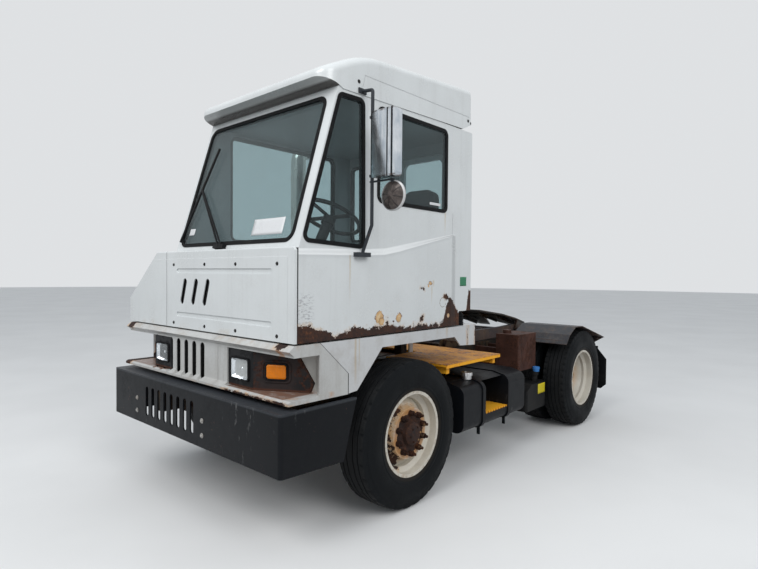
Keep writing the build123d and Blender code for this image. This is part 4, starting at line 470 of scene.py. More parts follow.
def cab_marks(s, colour):
    """Tan blisters and stains on the left side, run marks, a painted highlight on the crease's facet with
    painted shadow below it, painted shadow where the visor meets the windscreen, dark seams and scuffs.
    """
    side = s.x.rise(1.04, 1.06)
    wander = (s.noise(30, 6, 0.68) - 0.5) * 0.05
    broken = s.noise(26, 4, 0.6)
    for spot in BLISTERS:
        depth = blob(s, *spot) + wander
        ring = depth.rise(-0.006, 0.0) * depth.rise(0.006, 0.001) * broken.rise(0.42, 0.52)
        pale = depth.rise(0.010, 0.022) * broken.rise(0.6, 0.45)
        colour = s.layers(
            colour,
            (depth.rise(-0.002, 0.006) * side, (0.66, 0.40, 0.17)),
            (ring * side * 0.9, (0.17, 0.065, 0.026)),
            (pale * side * 0.8, (0.76, 0.60, 0.38)),
        )
    patch = blob(s, *TAN_PATCH, 0.022) + wander * 0.6
    flake = blob(s, *FLAKE) + wander * 0.8
    rim = flake.rise(-0.003, 0.0) * flake.rise(0.005, 0.001) * broken.rise(0.40, 0.48)
    colour = s.layers(
        colour,
        (patch.rise(0.0, 0.004) * side, (0.62, 0.40, 0.22)),
        (rim * side * 0.85, (0.16, 0.10, 0.06)),
    )
    for y, top, width, drop in SIDE_RUNS:
        run = abs(s.y - y + wander * 0.3).rise(width, 0.0) * s.z.rise(top - drop, top)
        colour = s.mix(run * s.z.rise(top + 0.02, top) * side * 0.5, colour, (0.55, 0.40, 0.20))
    low_edge, high_edge = crease_lines(s)
    above_low = s.z - low_edge
    facet = above_low.rise(-0.004, 0.002) * (s.z - high_edge).rise(0.006, 0.0)
    shadow = above_low.rise(-0.030, -0.004) * above_low.rise(0.002, -0.004)
    pressed = before_door_post(s) * side
    seam = groove(s.y + 1.011, 0.007) * s.x.rise(1.03, 1.045) * s.z.rise(1.845, 1.83)
    under_visor = s.facing().rise(-0.25, -0.6) * s.z.rise(2.80, 2.81)
    scuffed = s.noise(55, 5, 0.7, s.stretched(1, 0.5, 1.6)).rise(0.50, 0.58)
    where = s.y.between(-1.03, -0.90, 0.03) * s.z.between(1.36, 1.53, 0.03) * side
    grubby = s.noise(18, 5, 0.7).rise(0.55, 0.75) * s.z.rise(1.75, 1.35) * side
    return s.layers(
        colour,
        # Painted highlight on the crease's upper facet, and painted shadow just below it
        (facet * pressed * 0.9, (0.93, 0.95, 0.95)),
        (shadow * pressed * 0.16, (0.30, 0.32, 0.33)),
        (seam, SEAM_AND_SHADE_BLACK),
        # Painted shadow where the visor meets the windscreen; the visor's downward faces are made a little
        # darker in grey-brown
        (under_visor * s.y.rise(-0.775, -0.745), (0.030, 0.026, 0.023)),
        (under_visor * 0.12, (0.30, 0.28, 0.25)),
        (scuffed * where * 0.5, (0.20, 0.19, 0.22)),
        (grubby * 0.16, (0.45, 0.36, 0.26)),
    )


def cab_lines(s):
    """Pressed crease on the cab's left side, the panel seams and the roof's seam."""
    side = s.x.rise(1.05, 1.062)
    below, above = crease_lines(s)
    share = (s.z - below) / (above - below).most(0.004)
    pressed = share.rise(1.0, 0.0) * 0.022 * s.z.rise(2.02, 1.99) * before_door_post(s)
    seam = groove(s.y - 0.545 - (s.z - 1.96) * 0.02, 0.003) * s.z.between(1.965, 2.13, 0.004)
    roof_side = s.x.rise(1.066, 1.070) * s.z.rise(2.83, 2.84)
    roof_line = groove(s.z - 2.926 - (s.y + 0.114) * 0.006, 0.003) * s.y.between(-0.47, 0.76, 0.006)
    roof_front = groove(s.y + 0.478 - (s.z - 2.89) * 0.3, 0.003) * s.z.between(2.84, 2.926, 0.004)
    return (pressed - seam * SEAM_DEPTH) * side - roof_line.most(roof_front) * roof_side * SEAM_DEPTH


def cab_inside(s):
    """1 on the faces inside the cab, which are trimmed in dark vinyl, shown lighter by a painted reflection
    off the glass.
    """
    from_screen = (s.y - SCREEN_FOOT[0]) * SCREEN_NORMAL[0] + (s.z - SCREEN_FOOT[1]) * SCREEN_NORMAL[1]
    deep = from_screen.rise(0.012, 0.02) * (s.y - CAB_FRONT_Y).rise(0.012, 0.02) * s.y.rise(0.815, 0.807)
    across = s.x.rise(-0.335, -0.325) * s.x.rise(1.056, 1.048)
    return deep * across * s.z.rise(1.27, 1.28) * s.z.rise(2.812, 2.806)


def fascia_rust(s):
    """Rust at the lower skirt's shelf corner, its front lip and its outer tips."""
    corner = 0.026 - length((s.x - 0.965) * 0.55, (s.z - 1.232) * 1.2) - s.y.rise(-0.93, -0.88) * 0.1
    beside = abs(s.x - 0.70).rise(0.28, 0.40) * 0.03 + s.y.rise(-1.03, -1.0) * 0.06
    lip = s.noise(7, 3) * 0.06 - 0.024 - s.z.rise(0.905, 0.935) * 0.05 - beside
    tip_right = 0.05 - length(s.x + 1.03, (s.z - 0.925) * 1.2)
    right = 0.03 - length((s.x + 1.0) * 0.6, s.z - 1.225)
    return corner.most(lip).most(tip_right).most(right)


def fascia_marks(s, colour):
    """Brown washes on the shelf and in the lamp pockets, road film low down, painted shade in the dust colour
    on the pockets' deep walls, and painted shade inside the recess behind the slots.
    """
    across = abs(s.x)
    wash = s.noise(9, 6, 0.66).rise(0.46, 0.64)
    lip = s.x.rise(0.42, 0.60) * s.z.rise(0.945, 0.925) * s.noise(5, 2).rise(0.42, 0.6)
    drip = groove(s.x - 0.955 + (s.noise(12, 4) - 0.5) * 0.04, 0.03) * s.z.between(1.14, 1.23, 0.02)
    floor = across.between(0.41, 0.995, 0.012) * s.y.rise(-1.062, -1.052) * s.z.rise(0.960, 0.930)
    pocket = (s.noise(13, 6, 0.7).rise(0.28, 0.5) * 0.85 + 0.1) * floor
    deep = across.rise(0.86, 0.93) * across.rise(1.060, 1.052) * s.y.rise(-1.0, -0.97)
    chamfer = groove(s.y + 0.833 + (s.z - 1.240) * CHAMFER_SLOPE, 0.007) * s.z.rise(1.02, 1.03)
    upright = groove(s.y + 0.597, 0.006) * s.z.rise(1.034, 1.026)
    inside = s.y.rise(-1.0315, -1.0275) * s.x.between(-0.66, 0.365, 0.004) * s.z.rise(1.2295, 1.2275)
    return s.layers(
        colour,
        (wash * s.z.rise(1.19, 1.23) * 0.35, (0.40, 0.28, 0.17)),
        (wash * lip * 0.9, (0.50, 0.235, 0.085)),
        (drip * s.y.rise(-0.9, -1.0) * 0.8, (0.42, 0.19, 0.07)),
        (streaks(s, 16, 0.12).rise(0.46, 0.72) * 0.30, (0.33, 0.31, 0.28)),
        (pocket, (0.20, 0.105, 0.070)),
        # Painted shade on the lamp pockets' deep walls, in the dust colour
        (deep * s.z.between(0.94, 1.16, 0.008) * 0.55, DUST),
        (chamfer.most(upright) * across.rise(1.05, 1.06), SEAM_AND_SHADE_BLACK),
        # Painted shade inside the recess behind the slots
        (inside, SEAM_AND_SHADE_BLACK),
    )


def fascia_lines(s):
    """Panel seams across the skirt's front."""
    left, right = (groove(s.x - x, 0.0035) for x in SKIRT_SEAMS_X)
    return left.most(right) * s.y.rise(-1.0, -1.02) * -0.005


def panel_lines(s):
    """Pressed facets along the front panel's top and outer edge, and its fold."""
    facets = s.z.rise(1.752, 1.758).most(s.x.rise(1.003, 1.006))
    return facets * -0.004 - groove(s.x - PANEL_FOLD_X, 0.006) * 0.006


def panel_marks(s, colour):
    """Light streaks on the front panel, brown stains low down, its dark seams and painted shade inside its
    slots.
    """
    low = s.z.rise(1.30, 1.26) * s.noise(8, 5).rise(0.5, 0.7)
    edge = s.y.rise(-1.017, -1.0145) * s.x.rise(1.05, 1.06)
    slot = s.x.between(-0.28, 0.21, 0.004) * s.z.between(1.40, 1.64, 0.004) * s.y.rise(-1.0305, -1.0265)
    return s.layers(
        colour,
        (groove(s.x - PANEL_FOLD_X, 0.004) * 0.5, (0.25, 0.26, 0.26)),
        (streaks(s, 14, 0.08).rise(0.55, 0.8) * 0.14, (0.42, 0.44, 0.42)),
        (low * 0.25, (0.50, 0.36, 0.20)),
        # Dark seam along the panel's outer end, and painted shade inside the slots
        (edge.most(slot), SEAM_AND_SHADE_BLACK),
    )


def fender_rust(s):
    """Rust at the rear ends of the fender strips and along their seam."""
    return (s.y - 0.893).most(0.002 - abs(s.y - FENDER_SEAM_Y))


def fender_marks(s, colour):
    """Run marks of rust below the cab's edge."""
    wander = (s.noise(9, 5, 0.6, s.stretched(1, 1, 0.2)) - 0.5) * 0.03
    for y, width, foot, strength in FENDER_RUNS:
        run = abs(s.y - y + wander).rise(width, width * 0.2) * s.z.rise(foot, foot + 0.2)
        colour = s.mix(run * strength, colour, (0.48, 0.34, 0.16))
    return s.mix(s.noise(5, 6, 0.65).rise(0.48, 0.7) * 0.22, colour, (0.38, 0.33, 0.28))


def fender_lines(s):
    """Panel seams on the fender strips."""
    return groove(s.y - FENDER_SEAM_Y, 0.0025) * abs(s.x).rise(1.05, 1.06) * -0.003


def guard_marks(s, colour):
    """Brown road dirt on the mudguards' lower flanks, and a painted sheen that lightens their upward faces.
    """
    flank = s.facing().rise(0.75, 0.35) * s.noise(6, 5).rise(0.3, 0.6)
    # Painted sheen: the upward faces lighter in blue-grey
    upper = s.facing().rise(0.8, 0.97)
    return s.layers(colour, (flank * 0.6, (0.115, 0.075, 0.062)), (upper * 0.35, (0.115, 0.122, 0.135)))


def even_rust(share):
    """Rust spread over the surface, over more of it where share is larger."""

    def depth(s):
        return (s.noise(3.2, 5, 0.6) - (1 - share)) * 0.12

    return depth


def wheel_radius(s):
    """Distance from the nearer wheel's own axle line."""
    height = s.z - TYRE_RADIUS
    return length(s.y, height).least(length(s.y - WHEELBASE, height))


def rim_rust(s):
    """Rust on the rims: over the hub, in a scalloped crescent where the dish meets the barrel, and behind."""
    radius = wheel_radius(s)
    barrel = 0.262 - radius
    ahead = s.y - s.y.rise(1.4, 1.5) * WHEELBASE
    centre = (0.146 - radius) * 1.4
    crescent = (radius - 0.190).least(barrel) - ahead.rise(-0.09, 0.0) * 0.08
    deep = (radius - 0.12).least(barrel) - ahead.rise(-0.02, 0.06) * 0.2 - s.y.rise(1.5, 1.4) * 0.2
    behind = (0.90 - abs(s.x)).least(0.02)
    return centre.most(crescent.most(deep)).most(behind)


def rim_marks(s, colour):
    """Orange runs from the studs outwards, and brake dust."""
    radius = wheel_radius(s)
    fan = radius.rise(0.240, 0.170) * s.noise(14, 6, 0.68).rise(0.30, 0.58)
    lip = radius.rise(0.282, 0.290) * s.noise(30, 5).rise(0.5, 0.6)
    return s.layers(
        colour,
        (fan * 0.85, (0.60, 0.32, 0.10)),
        (radius.rise(0.188, 0.158) * 0.75, (0.38, 0.155, 0.045)),
        (s.noise(5, 5).rise(0.5, 0.7) * 0.20, (0.52, 0.44, 0.32)),
        (lip * 0.4, (0.30, 0.20, 0.12)),
    )


def rusty_steel():
    """Lamp plates, charcoal round the head lamp and rusting behind it, and the rusty oil tank."""
    s = Surface("rusty_steel")
    front = s.y.rise(0.0, -0.4)
    plain = abs(s.x).rise(0.656, 0.650) * front
    dark = s.mix(s.noise(6, 4).rise(0.35, 0.65), (0.012, 0.011, 0.012), (0.030, 0.021, 0.020))
    red = s.mix(s.noise(7, 5, 0.62).rise(0.3, 0.7), (0.042, 0.017, 0.012), (0.085, 0.036, 0.025))
    patch = s.mottle(0.6, (8, 5, 0.62), (30, 5, 0.6)).rise(0.49, 0.56)
    scale = s.ramp(s.noise(50, 6, 0.7), (0.38, (0.022, 0.010, 0.008)), (0.68, (0.10, 0.038, 0.020)))
    colour = s.layers(
        s.mix(front, red, dark),
        (patch * 0.85, scale),
        (plain, (0.0085, 0.0088, 0.010)),
        (streaks(s, 24, 0.1).rise(0.52, 0.72) * (1 - front) * 0.6, (0.018, 0.010, 0.009)),
        (s.z.rise(0.945, 0.93) * front * 0.8, (0.10, 0.034, 0.016)),
    )
    height = s.noise(120, 5, 0.7) * 0.0005 * (patch + 0.3) + s.noise(14, 3) * 0.0008
    return s.close(colour, 0.62 + patch * 0.25 - plain * 0.15, height, Specular_IOR_Level=0.22)


def orange_deck():
    """Orange grip plate with punched teeth, its upper side worn to rust and dirt."""
    s = Surface("orange_paint")
    teeth = ((s.x * TEETH).maths("SINE") * (s.y * TEETH).maths("SINE")).rise(0.35, 0.75)
    top = s.z.between(*DECK_TOP, 0.002).most(s.z.between(*STEP_TOP, 0.004))
    wear = s.mottle(0.65, (7, 6, 0.65), (50, 4))
    worn = s.ramp(
        wear, (0.34, (0.085, 0.036, 0.018)), (0.42, (0.30, 0.115, 0.035)), (0.49, (0.62, 0.26, 0.035)),
        (0.70, (0.82, 0.42, 0.055)),
    )
    fresh = s.ramp(wear, (0.34, (0.32, 0.12, 0.02)), (0.42, (0.92, 0.40, 0.012)), (0.7, (0.98, 0.50, 0.02)))
    colour = s.layers(
        fresh,
        (top, worn),
        (teeth * top * 0.40, (0.44, 0.30, 0.19)),
        (s.noise(13, 5, 0.7).rise(0.52, 0.68) * 0.40 * top, (0.40, 0.30, 0.25)),
    )
    return s.close(colour, 0.5 + wear * 0.35, teeth * top * 0.003 + wear * 0.0006)


def tyre_rubber():
    """Tyre rubber: grey worn tread, dusty side walls with fine rings."""
    s = Surface("tyre")
    radius = wheel_radius(s)
    dusty = s.mottle(0.65, (6, 6, 0.65), (70, 4, 0.6)).rise(0.40, 0.72)
    colour = s.layers(
        (0.0034, 0.0046, 0.0058),
        (dusty * 0.30, (0.016, 0.016, 0.016)),
        (radius.rise(0.512, 0.520) * (0.25 + dusty * 0.4), (0.028, 0.028, 0.028)),
        (radius.rise(0.335, 0.312) * 0.25, (0.05, 0.036, 0.024)),
    )
    rings = (radius * 900).maths("SINE") * radius.between(0.455, 0.492, 0.004)
    height = s.noise(160, 4) * 0.0003 + rings * 0.0002
    return s.close(colour, 0.55 + dusty * 0.3, height, Specular_IOR_Level=0.12)


def see_through(s, tint, film, share, layer):
    """Clear glass under a film that shows more at a grazing angle. share is the film's seen squarely."""
    grazing = s.node("ShaderNodeLayerWeight", None, {"Blend": 0.5, **layer}, 1)
    clear = s.node("ShaderNodeBsdfTransparent", None, {"Color": tint})
    coated = s.node("ShaderNodeBsdfPrincipled", None, {"IOR": 1.5, **film, **layer})
    share = (grazing.maths("POWER", grazing, 3.0) * 0.7 + share).least(1.0)
    return s.finished(s.node("ShaderNodeMixShader", None, {0: share, 1: clear, 2: coated}))


def dusty_glass():
    """Window glass: clear and a little dark, with a film of dust in streaks."""
    s = Surface("glass")
    dust = (s.noise(3.5, 6, 0.62) * 0.7 + streaks(s, 16, 0.12) * 0.3).rise(0.45, 0.85)
    film = {"Base Color": (0.27, 0.30, 0.305), "Roughness": 0.03 + dust * 0.1}
    return see_through(s, (0.80, 0.875, 0.885), film, dust * 0.06 + 0.085, {})


def lens(name, colour, ribs, clear=None):
    """Moulded lamp lens with flutes inside it. clear is the least share of its tint in a clear one."""
    s = Surface(name)
    flutes = ((s.x + s.y * 0.6) * ribs).maths("SINE")
    rows = (s.z * ribs * 0.8).maths("SINE")
    tint = s.layers(
        colour,
        (s.noise(30, 3).rise(0.3, 0.7) * 0.4, shaded(colour, 0.75)),
        (s.noise(90, 4).rise(0.56, 0.7) * 0.25, GRIME),
    )
    height = flutes * 0.0004 + rows * 0.00025
    if clear:
        film = {"Base Color": tint, "Roughness": 0.08}
        return see_through(s, (0.95, 0.97, 0.98), film, clear, {"Normal": s.bump(height)})
    roughness = 0.26 + s.noise(60, 3) * 0.14
    return s.close(tint, roughness, height, Coat_Weight=0.1, Specular_IOR_Level=0.25)


def bright_metal(name, colour, rough, stain=(0.25, 0.2, 0.15), amount=0.2):
    """Chrome or polished steel with smears and small pits."""
    s = Surface(name)
    smear = s.noise(14, 6, 0.65, s.stretched(1, 1, 0.5))
    pits = s.noise(170, 3, 0.6).rise(0.62, 0.70)
    stained = s.mix((smear.rise(0.5, 0.85) + pits * 0.5) * amount, colour, stain)
    roughness = rough + smear.rise(0.35, 0.8) * 0.12 + pits * 0.3
    return s.close(stained, roughness, s.noise(6, 2) * 0.0006 + pits * 0.00005, Metallic=1.0)


def mirror_backs():
    """Polished mirror backs: upright folds on the long head, with painted reflections in pale patches and
    painted shade along the folds, and a browned pressing on the round one.
    """
    s = Surface("mirror_backs")
    head = s.z.rise(LONG_HEAD_LOW, LONG_HEAD_LOW + 0.006)
    first, second, third = (groove(s.x - x, width) for x, width in LONG_HEAD_FOLDS)
    folds = first.most(second).most(third)
    painted_reflections = s.noise(5, 4, 0.6, s.stretched(3, 1, 0.6)).rise(0.35, 0.65)
    rail = s.z.rise(2.262, 2.252).most(s.z.rise(2.640, 2.650)) * s.noise(30, 4).rise(0.35, 0.6)
    long_head = s.layers(
        (0.50, 0.56, 0.62),
        # Painted reflections in pale patches, and painted shade along the folds
        (painted_reflections, (0.84, 0.86, 0.88)),
        (folds, (0.020, 0.021, 0.024)),
        (rail * 0.7, (0.11, 0.07, 0.05)),
    )
    across, up = s.x - ROUND_HEAD[0], s.z - ROUND_HEAD[1]
    radius = length(across, up)
    angle = across.maths("ARCTAN2", across, up)
    ribs = (angle * 8).maths("SINE").rise(0.75, 0.95) * radius.rise(0.016, 0.024)
    bowl = s.layers(
        (0.045, 0.036, 0.033),
        (s.noise(26, 5, 0.7).rise(0.35, 0.65), (0.13, 0.105, 0.095)),
        (ribs * 0.7, (0.012, 0.011, 0.011)),
        (radius.rise(0.084, 0.088), (0.60, 0.60, 0.60)),
    )
    smear = s.noise(14, 6, 0.65).rise(0.35, 0.8)
    height = s.noise(6, 2) * 0.0006 - folds * head * 0.002 + ribs * (1 - head) * 0.001
    roughness = 0.12 + smear * 0.12 + (1 - head) * 0.18
    return s.close(s.mix(head, bowl, long_head), roughness, height, Metallic=0.35 + head * 0.6)


def plain_black(name, colour, rough, grain, dust, ribs=None):
    """Plastic or rubber, mostly black, with a moulded grain, dust and scuffs."""
    s = Surface(name)
    dusty = s.mottle(0.7, (7, 6, 0.65), (80, 4)).rise(0.42, 0.75)
    scuff = s.noise(24, 5, 0.7, s.stretched(1, 0.25, 0.9)).rise(0.64, 0.74)
    height = s.cells(grain) * 0.00015 + s.noise(40, 4) * 0.0004
    if ribs is not None:
        height = height + ribs(s)
    tint = s.layers(colour, (dusty * dust, DUST), (scuff * 0.25, shaded(DUST, 0.6)))
    return s.close(tint, rough + dusty * 0.2 + scuff * 0.1, height, Specular_IOR_Level=0.14)


def bellows(s):
    """Rings of the rubber mounts below the cab's rear corners."""
    near = s.y.between(0.66, 0.83, 0.002) * s.z.between(1.235, 1.365, 0.002)
    return (s.z * 420).maths("SINE") * near * 0.002


def bumper_paint():
    """Semi-gloss black on pressed steel, with scuffs, chips and a painted sheen along its upper edge."""
    s = Surface("black_paint")
    scuffs = s.noise(30, 6, 0.72, s.stretched(0.9, 0.9, 0.25)).rise(0.60, 0.68)
    scraped = scuffs * s.noise(2.2, 3).rise(0.48, 0.62)
    dusty = s.mottle(0.65, (9, 6, 0.65), (90, 4)).rise(0.42, 0.78)
    # Painted sheen, mottled, along the bumper's upper edge
    flange_sheen = s.y.rise(-0.40, -0.46) * s.z.rise(0.852, 0.864) * (s.noise(20, 5, 0.7) * 0.5 + 0.5)
    chips = s.mottle(0.6, (70, 4, 0.6), (6, 4)).rise(0.64, 0.67)
    colour = s.layers(
        (0.0045, 0.0054, 0.0072),
        (s.noise(1.5, 3) * 0.5, (0.0080, 0.0094, 0.0122)),
        (dusty * 0.05, (0.10, 0.098, 0.092)),
        (flange_sheen * 0.8, (0.065, 0.072, 0.082)),
        (scraped * 0.45, (0.20, 0.20, 0.20)),
        (chips * 0.7, (0.10, 0.045, 0.028)),
    )
    height = s.noise(3, 3) * 0.0016 + s.noise(150, 3) * 0.0001 - scraped * 0.0001 - chips * 0.0003
    roughness = 0.38 + dusty * 0.22 + scuffs * 0.12
    return s.close(
        colour, roughness, height, Coat_Weight=0.02, Coat_Roughness=0.25, Specular_IOR_Level=0.12
    )


def woven_cloth():
    """Cloth of the pads: a plain weave with worn, lighter ridges."""
    s = Surface("seat_cloth")
    threads = 900
    weave = (s.x * threads).maths("SINE") * ((s.z + s.y) * threads).maths("SINE")
    worn = s.mottle(0.7, (6, 5, 0.6), (90, 3)).rise(0.4, 0.75)
    colour = s.layers(
        (0.022, 0.023, 0.026),
        (weave * 0.5 + 0.5, (0.050, 0.051, 0.056)),
        (worn * 0.5, (0.095, 0.09, 0.085)),
    )
    height = weave * 0.0002 + s.noise(20, 4) * 0.0016
    return s.close(colour, 0.86 + worn * 0.1, height, Sheen_Weight=0.3)


def blank_label(name, colour):
    """Printed film with nothing printed on it, scuffed and lifting at its corners."""
    s = Surface(name)
    wear = s.mottle(0.6, (12, 6, 0.65), (90, 4)).rise(0.48, 0.78)
    flecks = s.noise(160, 3).rise(0.62, 0.7)
    tint = s.layers(colour, (wear * 0.35, shaded(colour, 0.6)), (flecks * 0.3, GRIME))
    return s.close(tint, 0.42 + wear * 0.3, s.noise(18, 4) * 0.0006)


def make_finishes():
    """Every finish of the vehicle."""
    weathered(
        "white_paint", WHITE, 0.26, cab_rust, dust=0.13, coat=0.25, lines=cab_lines, trim=cab_inside,
        extra=cab_marks, ragged=0.062, stain=0.5,
    )
    weathered("panel_paint", WHITE, 0.26, dust=0.12, coat=0.25, lines=panel_lines, extra=panel_marks)
    weathered(
        "grey_paint", OFF_WHITE, 0.36, fascia_rust, coat=0.1, lines=fascia_lines, extra=fascia_marks,
        ragged=0.028, stain=0.7,
    )
    weathered(
        "fender_paint", (0.62, 0.63, 0.635), 0.32, fender_rust, dust=0.22, coat=0.15, lines=fender_lines,
        extra=fender_marks, ragged=0.02,
    )
    bumper_paint()
    weathered(
        "chassis_paint", (0.0068, 0.0066, 0.0068), 0.62, even_rust(0.40), dust=0.35, grain=0.0005,
        dust_colour=(0.045, 0.038, 0.032), stain=0.1, specular=0.15,
    )
    orange_deck()
    rusty_steel()
    weathered("rim_paint", CREAM, 0.42, rim_rust, dust=0.2, coat=0.1, ragged=0.05, extra=rim_marks)
    weathered(
        "guard_paint", (0.030, 0.033, 0.040), 0.50, even_rust(0.34), dust=0.4, grain=0.0004,
        dust_colour=(0.13, 0.12, 0.12), stain=0.1, specular=0.25, extra=guard_marks,
    )
    weathered(
        "cast_iron", (0.018, 0.014, 0.012), 0.65, even_rust(0.5), dust=0.4, grain=0.001, stain=0.15,
        dust_colour=(0.06, 0.045, 0.035), specular=0.18,
    )
    weathered(
        "greased_steel", (0.013, 0.012, 0.011), 0.36, even_rust(0.40), grain=0.0006, coat=0.1, stain=0.1,
        dust_colour=(0.06, 0.05, 0.042), specular=0.3,
    )
    weathered(
        "nut_rust", (0.026, 0.012, 0.010), 0.72, even_rust(0.62), dust=0.1, grain=0.0008, specular=0.25,
        ragged=0.02,
    )
    weathered("dark_bolt", (0.010, 0.009, 0.009), 0.6, dust=0.1, specular=0.3)
    dusty_glass()
    lens("clear_lens", (0.80, 0.84, 0.86), 420, 0.10)
    lens("amber_lens", (0.86, 0.235, 0.004), 520)
    lens("red_lens", (0.42, 0.012, 0.010), 520)
    tyre_rubber()
    plain_black("rubber", (0.0050, 0.0056, 0.0066), 0.62, 700, 0.05, bellows)
    plain_black("black_plastic", (0.0065, 0.0070, 0.0080), 0.48, 480, 0.07)
    plain_black("radiator_core", (0.0045, 0.0045, 0.005), 0.7, 300, 0.03)
    plain_black("cap_blue", (0.05, 0.21, 0.55), 0.38, 300, 0.12)
    mirror_backs()
    bright_metal("mirror_chrome", (0.80, 0.81, 0.83), 0.07, amount=0.12)
    bright_metal("stack_chrome", (0.58, 0.55, 0.51), 0.22, (0.20, 0.11, 0.06), 0.55)
    bright_metal("rod_chrome", (0.78, 0.78, 0.78), 0.10, amount=0.25)
    bright_metal("aluminium", (0.55, 0.55, 0.55), 0.38, (0.3, 0.29, 0.27), 0.4)
    bright_metal("bolt_zinc", (0.42, 0.41, 0.39), 0.42, (0.16, 0.085, 0.045), 0.7)
    woven_cloth()
    blank_label("blank_white", (0.76, 0.77, 0.78))
    blank_label("blank_yellow", (0.74, 0.60, 0.02))
    blank_label("blank_green", (0.02, 0.20, 0.09))


def dress_nodes():
    """Each node's slots take their finish, by the material's name."""
    for subpart in frame["record"]["subparts"]:
        node = frame["nodes"].get(subpart["node"])
        if node is None:
            continue
        finish = FINISHES[NODE_FINISHES.get(subpart["node"], subpart["material_slot"])]
        if not node.data.materials:
            node.data.materials.append(finish)
        for index in range(len(node.data.materials)):
            node.data.materials[index] = finish


# Shaping


def skin(node, start, heading):
    """Place and outward normal where a line meets a node."""
    found, place, normal, _ = frame["nodes"][node].ray_cast(start, heading)
    if not found:
        raise ValueError(f"no surface of {node} from {tuple(start)}")
    return place, normal


def piece(name, bm, finish, body, smooth=35, stands_for=()):
    """A finished piece from mesh code, riding on its body."""
    bmesh.ops.recalc_face_normals(bm, faces=bm.faces)
    mesh = bpy.data.meshes.new(name)
    bm.to_mesh(mesh)
    bm.free()
    for face in mesh.polygons:
        face.use_smooth = True
    mesh.set_sharp_from_angle(angle=math.radians(smooth))
    mesh.materials.append(FINISHES[finish])
    made = bpy.data.objects.new(name, mesh)
    bpy.context.scene.collection.objects.link(made)
    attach(made, body)
    if stands_for:
        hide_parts(*stands_for)
    return made


def axes_of(heading):
    """A heading at unit length, and two directions square to it."""
    heading = heading.normalized()
    side = heading.cross(UP if abs(heading.z) < 0.9 else ACROSS).normalized()
    return heading, side, heading.cross(side)


def joined(bm, rings):
    """Faces between each ring of points and the next."""
    for first, second in zip(rings, rings[1:]):
        for step in range(len(first)):
            after = (step + 1) % len(first)
            bm.faces.new((first[step], first[after], second[after], second[step]))


def spun(bm, profile, centre, heading, count, shape=None, closed=True, turn=0.0):
    """Surface of revolution. The profile's points are (along, radius), and shape moves them by angle."""
    heading, side, up = axes_of(heading)
    rings = []
    for index, point in enumerate(profile):
        ring = []
        for step in range(count):
            angle = 2 * math.pi * step / count + turn
            along, radius = shape(index, step, *point) if shape else point
            out = side * math.cos(angle) + up * math.sin(angle)
            ring.append(bm.verts.new(centre + heading * along + out * radius))
        rings.append(ring)
    joined(bm, rings)
    if closed:
        bm.faces.new(rings[0])
        bm.faces.new(rings[-1])


def hexagon(bm, centre, heading, flats, height, turn):
    """Nut or bolt head with chamfered corners."""
    corner = flats / math.sqrt(3)

    def six_sided(index, step, along, radius):
        """Middle of each flat, drawn in below the chamfer."""
        return along, radius * (0.89 if index < 2 and step % 2 else 1)

    profile = (
        (0, corner), (height * 0.86, corner), (height, corner * 0.84), (height, corner * 0.55),
        (height * 0.97, 0.0004),
    )
    spun(bm, profile, centre, heading, 12, six_sided, turn=turn)


# Tyres

GROOVE_DEPTH = 0.010
GROOVE_HALF = 0.0042
GROOVE_TAPER = 0.0012
FRONT_GROOVES = (-0.070, -0.028, 0.028, 0.070)
REAR_GROOVES = (-0.062, -0.021, 0.021, 0.062)
FRONT_LUGS, REAR_LUGS = 6, 4
TREAD_HALF = 0.1065
CROWN_DROP = 0.0042
TYRE_STEPS = 192
ZIGZAG_STEPS = 8
# Side wall from tread to bead, as (across, radius)
SIDE_WALL = (
    (0.1125, 0.5165), (0.1160, 0.5085), (0.1172, 0.4990), (0.1186, 0.4905), (0.1222, 0.4790),
    (0.1242, 0.4775), (0.1290, 0.4630), (0.1292, 0.4600), (0.1352, 0.4420), (0.1388, 0.4230),
    (0.1398, 0.4070), (0.1392, 0.3900), (0.1368, 0.3740), (0.1366, 0.3710), (0.1338, 0.3580),
    (0.1318, 0.3510), (0.1326, 0.3480), (0.1326, 0.3405), (0.1296, 0.3365), (0.1268, 0.3260),
    (0.1242, 0.3160), (0.1222, 0.3095), (0.1205, 0.3062), (0.1180, 0.3045), (0.1100, 0.3035),
    (0.1060, 0.3000), (0.1050, 0.2925),
)


def crown(across):
    """Radius of the tread's arched top."""
    return TYRE_RADIUS - 0.0003 - CROWN_DROP * (across / TREAD_HALF) ** 2


def tyre_profile(grooves):
    """Points across a tyre as (across, radius), and what each point belongs to."""
    points = [(-across, radius, "wall") for across, radius in reversed(SIDE_WALL)]
    edges = [-TREAD_HALF, *(x + half for x in grooves for half in (-GROOVE_HALF, GROOVE_HALF)), TREAD_HALF]
    last = len(edges) - 2
    for index in range(0, len(edges), 2):
        low, high = edges[index], edges[index + 1]
        for part in (0, 0.12, 0.5, 0.88, 1):
            across = low + (high - low) * part
            outer = (index == 0 and part < 0.55) or (index == last and part > 0.45)
            points.append((across, crown(across), "shoulder" if outer else "rib"))
        if index < last:
            for across in (high + GROOVE_TAPER, edges[index + 2] - GROOVE_TAPER):
                points.append((across, crown(across) - GROOVE_DEPTH, "groove"))
    points += [(across, radius, "wall") for across, radius in SIDE_WALL]
    return [point[:2] for point in points], [point[2] for point in points]


